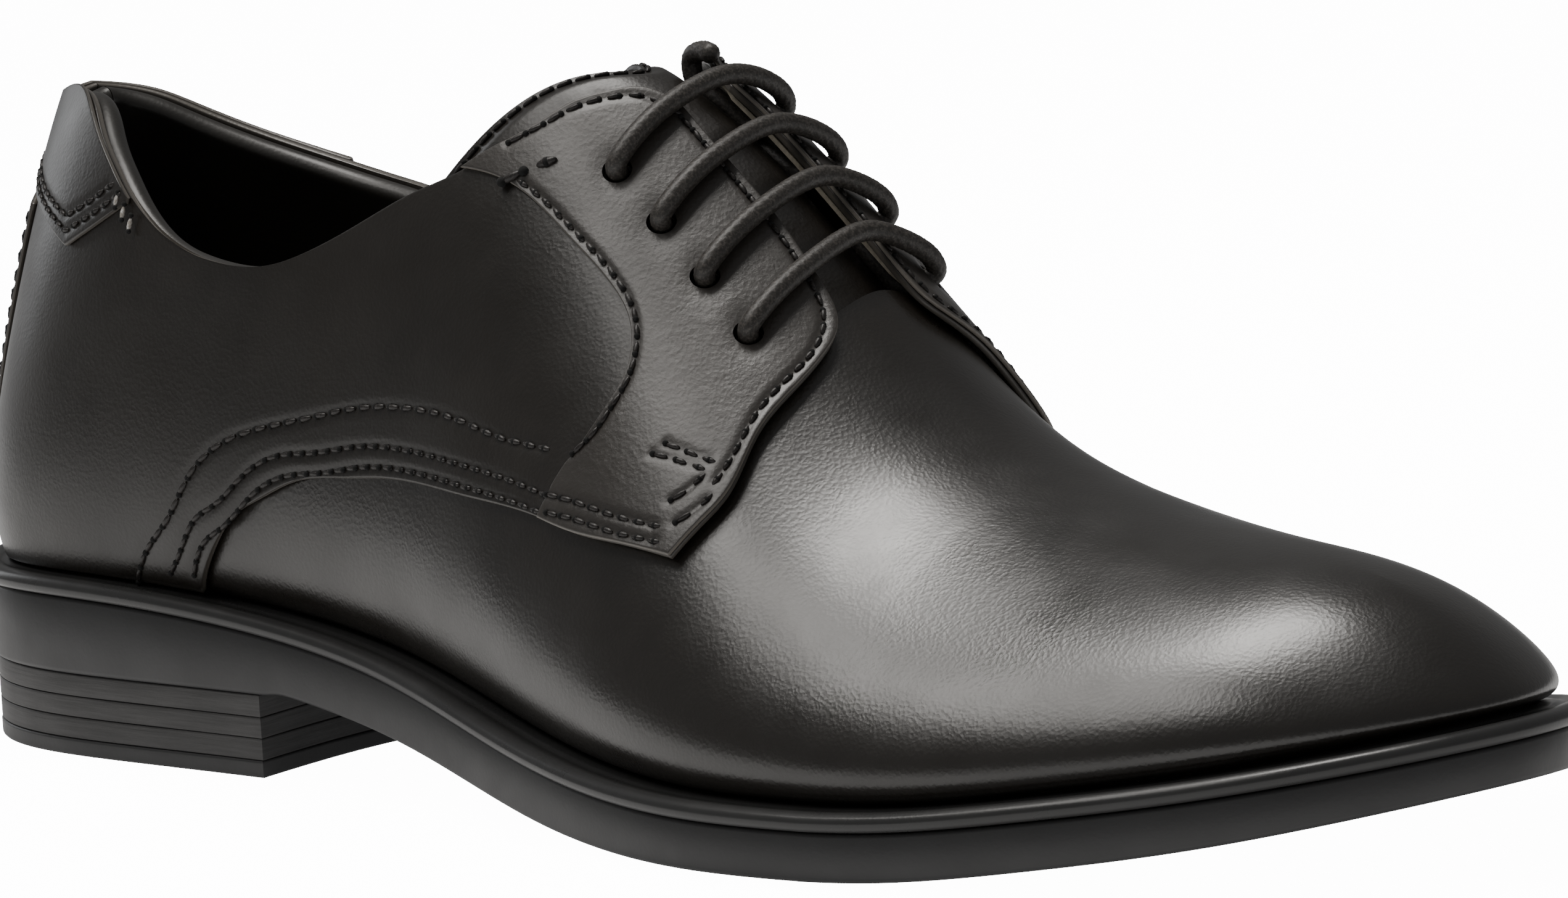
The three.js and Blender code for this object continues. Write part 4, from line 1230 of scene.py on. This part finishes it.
def build_lace():
    """The lace, a round braid, held by its holes all the way."""
    radius = bpy.context.scene.shoe_sizes.lace / 2
    route = np.array(lace_route())
    centre = through(on_last(route[:, 0], route[:, 1], route[:, 2]), 0.36)
    ahead = np.gradient(centre, axis=0)
    ahead /= np.linalg.norm(ahead, axis=1, keepdims=True)
    out = np.empty_like(centre)
    out[0] = np.cross(ahead[0], [0, 0, 1])
    for i in range(1, len(centre)):
        out[i] = out[i - 1] - ahead[i] * (out[i - 1] @ ahead[i])
        out[i] /= np.linalg.norm(out[i])
    beside = np.cross(ahead, out)
    turn = np.linspace(0, 2 * math.pi, 32, endpoint=False)[None, :]
    along = (np.arange(len(centre)) * 0.36)[:, None]
    height = braid_height(along, turn)
    size = radius * (1 + 0.2 * (height - 0.6))
    ends = np.minimum(along, along[-1] - along) / radius
    size = size * np.sqrt(np.clip(1 - (1 - np.minimum(ends, 1)) ** 2, 0.02, 1))
    ring = out[:, None] * np.cos(turn)[..., None] + beside[:, None] * np.sin(turn)[..., None]
    points = centre[:, None] + ring * size[..., None]
    faces = grid_faces(len(centre), 32, closed=True).tolist()
    faces += [list(range(31, -1, -1)), list(range((len(centre) - 1) * 32, len(centre) * 32))]
    # the braid's height also masks where the lace's painted glints (painted highlight) go
    item = mesh_object("lace", points, faces, "lace", sharp=80, rim=height.ravel())
    fit(item, "shoe", "lace_cord", "lace")


# ---- Sole and heel -------------------------------------------------------------------------
# The bead's section: out from the sole's edge line, and down from it.
WELT_PROFILE = [
    (-3, -0.4), (1.2, -0.5), (1.7, -0.62), (2.2, -0.85), (2.8, -0.72), (3.8, -0.4), (4.8, -0.35),
    (5.6, -0.55), (6.15, -0.95), (6.45, -1.5), (6.5, -1.9), (6.35, -2.5), (5.9, -3), (5.0, -3.25),
    (-3, -3.25),
]


def build_welt():
    """The welt's bead, round the whole shoe."""
    place = np.linspace(-1, 1, 420, endpoint=False)[:, None]
    out, rel = np.array(WELT_PROFILE).T
    x, y, *_ = plan(np.broadcast_to(place, (420, len(out))), out[None, :])
    z = feather_height(plan(place)[0]) + rel[None, :]
    points = np.stack([x, y, z], -1)
    points = np.concatenate([points, points[:1]])
    faces = grid_faces(*points.shape[:2], closed=True)
    fit(mesh_object("welt", points, faces, "welt_rubber", sharp=60), "shoe", "welt_rubber", "welt")


HEEL_TOP = 13.0
TREAD_START = 118
TREAD_END = 288
TREAD_PITCH = 6.5
TREAD_DEPTH = 1.1
EDGE_ROUND = 0.9
SOLE_TOP = 3.5  # the outsole's top, down from the sole's edge line


def sole_bottom(x):
    """The outsole's underside: flat over the heel, then following the arch."""
    share = smooth_step(x, 80, 86)
    return HEEL_TOP + (underside(x) - HEEL_TOP) * share


def tread(x, inset):
    """How deep the tread is cut at a place under the forepart, inset from the edge."""
    inside = smooth_step(inset, 3, 4) * smooth_step(x, TREAD_START, TREAD_START + 1.5)
    inside = inside * (1 - smooth_step(x, TREAD_END - 8, TREAD_END - 6))
    wave = smooth_step(np.sin(2 * math.pi * x / TREAD_PITCH), -0.35, 0.35)
    return TREAD_DEPTH * inside * wave


def sole_wall(share, side):
    """One side wall of the outsole, from its top edge down and round to the underside."""
    turn = np.linspace(0, math.pi / 2, 6)
    rounded = SOLE_EDGE - EDGE_ROUND * (1 - np.cos(turn))
    out = np.concatenate([[SOLE_EDGE - 0.9, SOLE_EDGE - 0.3, SOLE_EDGE], rounded])
    x, y, *_ = plan(side * share[:, None], out[None, :])
    high = feather_height(plan(side * share)[0]) - SOLE_TOP
    low = sole_bottom(x[:, -1])
    bend = [low + EDGE_ROUND * (1 - math.sin(t)) for t in turn]
    return np.stack([x, y, np.stack([high, high - 0.1, high - 0.6, *bend], -1)], -1)


def build_outsole():
    """The outsole: a rounded wall, a treaded forepart and a smooth waist, its seat flat on the heel."""
    crowded = 0.5 - 0.5 * np.cos(np.linspace(0, math.pi, 60))
    share = np.unique(np.concatenate([crowded, np.linspace(0.03, 0.97, 330)]))
    outer, inner = sole_wall(share, 1), sole_wall(share, -1)
    v = np.linspace(0, 1, 40)[1:-1]
    a, b = outer[:, -1], inner[:, -1]
    under = a[:, None] + (b - a)[:, None] * v[None, :, None]
    wide = np.linalg.norm((b - a)[:, :2], axis=1)[:, None]
    inset = np.minimum(v[None, :], 1 - v[None, :]) * wide
    ends = np.minimum(share, 1 - share)[:, None] * 330
    under[..., 2] = sole_bottom(under[..., 0]) + tread(under[..., 0], np.minimum(inset, ends))
    c, d = inner[:, 0], outer[:, 0]
    over = c[:, None] + (d - c)[:, None] * v[None, ::3, None]
    section = np.concatenate([outer, under, inner[:, ::-1], over], 1)
    columns = section.shape[1]
    faces = grid_faces(*section.shape[:2], closed=True).tolist()
    faces += [list(range(columns))[::-1], list(range((len(share) - 1) * columns, len(share) * columns))]
    item = mesh_object("outsole", section, faces, "sole_rubber", sharp=50)
    fit(item, "shoe", "sole_rubber", "outsole")


HEEL_MIDDLE = np.array([42.0, 1.0])


def heel_outline(out, count=150):
    """The heel's outline, out from the feather line, with its hollowed front face."""
    trial = np.linspace(0, 0.4, 2000)
    reach = {side: trial[np.argmax(plan(side * trial, out)[0] >= BREAST_X)] for side in (1, -1)}
    place = np.linspace(-reach[-1], reach[1], count)
    x, y, *_ = plan(place, out)
    ya, yb = y[-1], y[0]
    t = np.linspace(0, 1, 44)[1:-1]
    front_y = ya + (yb - ya) * t
    front_x = BREAST_X - BREAST_DEPTH * np.sin(math.pi * t)
    return np.concatenate([np.stack([x, y], -1), np.stack([front_x, front_y], -1)])


def slab(name, low, high, out, finish, rounding):
    """One layer of the heel, its edges slightly rounded."""
    outline = heel_outline(out)
    away = outline - HEEL_MIDDLE
    away /= np.linalg.norm(away, axis=1, keepdims=True)
    turn = np.linspace(math.pi / 2, 0, 4)
    lift, cut = rounding * (1 - np.sin(turn)), rounding * (1 - np.cos(turn))
    levels = zip(np.concatenate([low + lift, high - lift[::-1]]), np.concatenate([cut, cut[::-1]]))
    rings = np.stack([np.c_[outline - away * cut, np.full(len(outline), z)] for z, cut in levels])
    rows, count = rings.shape[:2]
    faces = grid_faces(rows, count, closed=True).tolist()
    faces += [list(range(count))[::-1], list(range((rows - 1) * count, rows * count))]
    return mesh_object(name, rings, faces, finish, sharp=35)


HEEL_LIFTS = [(9.45, 12.95), (6.15, 9.4), (2.75, 6.1)]  # underside and top of each
TOP_PIECE = (0, 2.7)


def build_heel():
    """Three lifts of stacked board and rubber, on a rubber top piece."""
    for number, (low, high) in enumerate(HEEL_LIFTS, 1):
        lift = slab(f"heel_lift_{number}", low, high, HEEL_EDGE, "heel_rubber", 0.3)
        fit(lift, "shoe", "lift_rubber", f"heel_lift_{number}")
    top_piece = slab("heel_top_piece", *TOP_PIECE, HEEL_EDGE + 0.1, "sole_rubber", 0.45)
    fit(top_piece, "shoe", "sole_rubber", "heel_top_piece")


INSIDE = {
    "facing_stay_lateral": "tape", "facing_stay_medial": "tape", "toe_puff": "fibreboard",
    "heel_counter": "fibreboard", "insole_board": "fibreboard", "collar_foam": "foam",
    "forepart_filler": "cork", "seat_filler": "cork", "shank": "steel",
    **{f"heel_nail_{i}": "steel" for i in range(1, 6)},
}


def finish_inside():
    """The pieces inside the shoe keep their shapes and get their own finishes."""
    for name, finish in INSIDE.items():
        item = bpy.data.objects[name]
        item.data.materials.clear()
        item.data.materials.append(material(finish))


# ---- Stage ---------------------------------------------------------------------------------
def area_light(name, place, size, power, target, colour=(1, 1, 1)):
    """A soft light turned towards its target."""
    lamp = bpy.data.lights.new(name, "AREA")
    lamp.shape = "RECTANGLE"
    lamp.size, lamp.size_y = size
    lamp.energy = power
    lamp.color = colour
    item = bpy.data.objects.new(name, lamp)
    item.location = place
    item.rotation_euler = (Vector(target) - Vector(place)).to_track_quat("-Z", "Y").to_euler()
    bpy.context.scene.collection.objects.link(item)
    return item


ROOM_LIGHT = 0.17  # how bright the white room is for the shoe
BACKDROP = 14.0  # how bright it looks
FLOOR_GLOW = 0.2


def build_floor():
    """A plain white floor, wide enough to meet the background."""
    mesh = bpy.data.meshes.new("floor")
    reach = 12
    corners = [(-reach, -reach, 0), (reach, -reach, 0), (reach, reach, 0), (-reach, reach, 0)]
    mesh.from_pydata(corners, [], [(0, 1, 2, 3)])
    made, tree, shader, where = new_finish("floor")
    even = ramp(tree, noise(tree, where, 3), 0.93, 0.95)
    tone = add(tree, "ShaderNodeCombineColor", Red=even, Green=even, Blue=even).outputs[0]
    tree.links.new(tone, shader.inputs["Base Color"])
    shader.inputs["Roughness"].default_value = 0.9
    shader.inputs["Emission Color"].default_value = (1, 1, 1, 1)
    seen = add(tree, "ShaderNodeLightPath").outputs["Is Camera Ray"]
    tree.links.new(ramp(tree, seen, FLOOR_GLOW, BACKDROP), shader.inputs["Emission Strength"])
    mesh.materials.append(made)
    floor = bpy.data.objects.new("floor", mesh)
    bpy.context.scene.collection.objects.link(floor)
    return floor


def build_world():
    """An even white room that looks brighter than it lights."""
    world = bpy.data.worlds.new("studio")
    world.use_nodes = True
    tree = world.node_tree
    seen = add(tree, "ShaderNodeLightPath").outputs["Is Camera Ray"]
    backdrop = tree.nodes["Background"]
    backdrop.inputs["Color"].default_value = (1, 1, 1, 1)
    tree.links.new(ramp(tree, seen, ROOM_LIGHT, BACKDROP), backdrop.inputs["Strength"])
    bpy.context.scene.world = world


CAMERA_TURN = math.radians(46.18)
CAMERA_TILT = math.radians(8.70)
CAMERA_ROLL = math.radians(-3.58)
CAMERA_AWAY = 1684.23
CAMERA_TARGET = np.array([161.64, 1.21, 51.27])
CAMERA_LENS = 259.4


def build_camera():
    """A long lens, turned a little to one side of upright."""
    a, e, k = CAMERA_TURN, CAMERA_TILT, CAMERA_ROLL
    back = Vector((math.sin(a) * math.cos(e), -math.cos(a) * math.cos(e), math.sin(e)))
    right = Vector((math.cos(a), math.sin(a), 0))
    up = back.cross(right)
    right, up = right * math.cos(k) + up * math.sin(k), up * math.cos(k) - right * math.sin(k)
    data = bpy.data.cameras.new("camera")
    data.lens = CAMERA_LENS
    data.sensor_width = 36
    data.clip_end = 50
    item = bpy.data.objects.new("camera", data)
    turn = Matrix((right, up, back)).transposed().to_4x4()
    place = (Vector(CAMERA_TARGET + OFFSET) + back * CAMERA_AWAY) / 1000
    item.matrix_world = Matrix.Translation(place) @ turn
    bpy.context.scene.collection.objects.link(item)
    bpy.context.scene.camera = item
    return item


def build_stage():
    """The room, floor, camera and three soft lights."""
    build_world()
    items = [build_floor(), build_camera()]
    warm, cool = (1, 0.97, 0.93), (0.96, 0.98, 1)
    items.append(area_light("overhead", (-0.2, 0.06, 0.97), (0.46, 0.26), 5.2, (0.1, 0, 0.04), warm))
    items.append(area_light("left", (-0.3, -0.42, 0.95), (0.55, 0.3), 2.6, (0, 0, 0.08), warm))
    items.append(area_light("far_left", (-1.1, 0.1, 0.35), (0.3, 0.5), 0.8, (-0.12, 0, 0.06), cool))


# ---- The add-on: sizes, colours, operators and panel -----------------------------------------
class ShoeSizes(bpy.types.PropertyGroup):
    """The sizes a user may change, in millimetres"""

    eyelet: FloatProperty(
        name="Eyelet hole", description="Width of the punched holes in the facings, in millimetres",
        default=4.6, min=3.6, max=5.2,
    )
    lace: FloatProperty(
        name="Lace", description="Thickness of the round lace, in millimetres", default=3.2, min=2,
        max=3.5,
    )
    thread: FloatProperty(
        name="Thread", description="Thickness of the sewing thread, in millimetres",
        default=0.85, min=0.4, max=1.4,
    )
    stitch_pitch: FloatProperty(
        name="Stitch pitch", description="From one stitch to the next, in millimetres", default=2.9, min=1.8,
        max=5,
    )
    grain: FloatProperty(
        name="Grain", description="Width of one pebble of the leather's grain, in millimetres", default=0.7,
        min=0.3, max=2,
    )


def colour(name, description, default):
    """A colour shown in the panel."""
    return FloatVectorProperty(
        name=name, description=description, default=default, size=3, min=0, max=1, subtype="COLOR",
    )


class ShoeColours(bpy.types.PropertyGroup):
    """The colours a user may change"""

    upper: colour("Upper", "Dyed leather of the vamp, quarters and tongue", (0.0135, 0.0108, 0.0082))
    facing: colour("Facing", "Dyed leather of the facings", (0.034, 0.029, 0.0245))
    # also the colour of the lace's painted glints, a painted highlight
    raw_edge: colour("Cut edge", "Undyed leather where it's cut, and pale thread", (0.34, 0.31, 0.27))
    lining: colour("Lining", "Leather inside the shoe and over the collar's rim", (0.02, 0.018, 0.015))
    thread: colour("Thread", "Waxed sewing thread", (0.012, 0.010, 0.009))
    lace: colour("Lace", "Waxed lace", (0.03, 0.027, 0.024))
    sole: colour("Sole", "Rubber of the outsole and top piece", (0.038, 0.038, 0.039))
    heel: colour("Heel", "The heel's stacked layers", (0.048, 0.047, 0.047))
    welt: colour("Welt", "Rubber bead round the shoe", (0.03, 0.03, 0.03))


class SHOE_OT_quarters(bpy.types.Operator):
    """Build the two quarters, with their lace holes"""
    bl_idname = "shoe.quarters"
    bl_label = "Quarters"

    def execute(self, context):
        for side, label in SIDES:
            build_quarter(side, label)
        return {"FINISHED"}


class SHOE_OT_facings(bpy.types.Operator):
    """Build the two facings that carry the lace holes"""
    bl_idname = "shoe.facings"
    bl_label = "Facings"

    def execute(self, context):
        for side, label in SIDES:
            build_facing(side, label)
        return {"FINISHED"}


class SHOE_OT_vamp(bpy.types.Operator):
    """Build the vamp over the forefoot and toe"""
    bl_idname = "shoe.vamp"
    bl_label = "Vamp"

    def execute(self, context):
        build_vamp()
        return {"FINISHED"}


class SHOE_OT_collar(bpy.types.Operator):
    """Build the collar patch and the strip over the back seam"""
    bl_idname = "shoe.collar"
    bl_label = "Collar patch and back strip"

    def execute(self, context):
        build_patch()
        build_strip()
        return {"FINISHED"}


class SHOE_OT_linings(bpy.types.Operator):
    """Build the linings, with their rolled collar rim, and the sock"""
    bl_idname = "shoe.linings"
    bl_label = "Linings and sock"

    def execute(self, context):
        for side, label in SIDES:
            build_lining(side, label)
        build_vamp_lining()
        build_sock()
        return {"FINISHED"}


class SHOE_OT_tongue(bpy.types.Operator):
    """Build the tongue and its lining"""
    bl_idname = "shoe.tongue"
    bl_label = "Tongue"

    def execute(self, context):
        build_tongue()
        return {"FINISHED"}


class SHOE_OT_lace(bpy.types.Operator):
    """Build the braided lace along its laid route"""
    bl_idname = "shoe.lace"
    bl_label = "Lace"

    def execute(self, context):
        build_lace()
        return {"FINISHED"}


class SHOE_OT_stitching(bpy.types.Operator):
    """Sew every visible row of stitches"""
    bl_idname = "shoe.stitching"
    bl_label = "Stitching"

    def execute(self, context):
        build_stitching()
        return {"FINISHED"}


class SHOE_OT_sole(bpy.types.Operator):
    """Build the welt and the outsole"""
    bl_idname = "shoe.sole"
    bl_label = "Welt and outsole"

    def execute(self, context):
        build_welt()
        build_outsole()
        return {"FINISHED"}


class SHOE_OT_heel(bpy.types.Operator):
    """Build the heel's lifts and top piece"""
    bl_idname = "shoe.heel"
    bl_label = "Heel"

    def execute(self, context):
        build_heel()
        return {"FINISHED"}


class SHOE_OT_inside(bpy.types.Operator):
    """Give the stiffeners, fillers, shank and nails their finishes"""
    bl_idname = "shoe.inside"
    bl_label = "Inside parts"

    def execute(self, context):
        finish_inside()
        return {"FINISHED"}


class SHOE_OT_stage(bpy.types.Operator):
    """Set up the floor, lights and camera"""
    bl_idname = "shoe.stage"
    bl_label = "Floor, lights and camera"

    def execute(self, context):
        build_stage()
        return {"FINISHED"}


OPERATORS = (
    SHOE_OT_quarters, SHOE_OT_facings, SHOE_OT_vamp, SHOE_OT_collar, SHOE_OT_linings, SHOE_OT_tongue,
    SHOE_OT_lace, SHOE_OT_stitching, SHOE_OT_sole, SHOE_OT_heel, SHOE_OT_inside, SHOE_OT_stage,
)


class SHOE_PT_panel(bpy.types.Panel):
    """The sizes, the colours and the steps of the build"""
    bl_label = "Leather shoe"
    bl_idname = "SHOE_PT_panel"
    bl_space_type = "VIEW_3D"
    bl_region_type = "UI"
    bl_category = "Shoe"

    def draw(self, context):
        for heading, group in (("Sizes", context.scene.shoe_sizes), ("Colours", context.scene.shoe_colours)):
            box = self.layout.box()
            box.label(text=heading)
            for key in type(group).__annotations__:
                box.prop(group, key)
        for operator in OPERATORS:
            self.layout.operator(operator.bl_idname)


CLASSES = (ShoeSizes, ShoeColours, *OPERATORS, SHOE_PT_panel)


def register():
    """Adds the classes, and the sizes and colours they keep in the scene."""
    for made in CLASSES:
        bpy.utils.register_class(made)
    bpy.types.Scene.shoe_sizes = PointerProperty(type=ShoeSizes)
    bpy.types.Scene.shoe_colours = PointerProperty(type=ShoeColours)


def unregister():
    """Takes them out again."""
    del bpy.types.Scene.shoe_sizes
    del bpy.types.Scene.shoe_colours
    for made in reversed(CLASSES):
        bpy.utils.unregister_class(made)


def main():
    """Builds the whole shoe, one operator after another."""
    register()
    for operator in OPERATORS:
        group, step = operator.bl_idname.split(".")
        getattr(getattr(bpy.ops, group), step)()


if __name__ == "__main__":
    main()
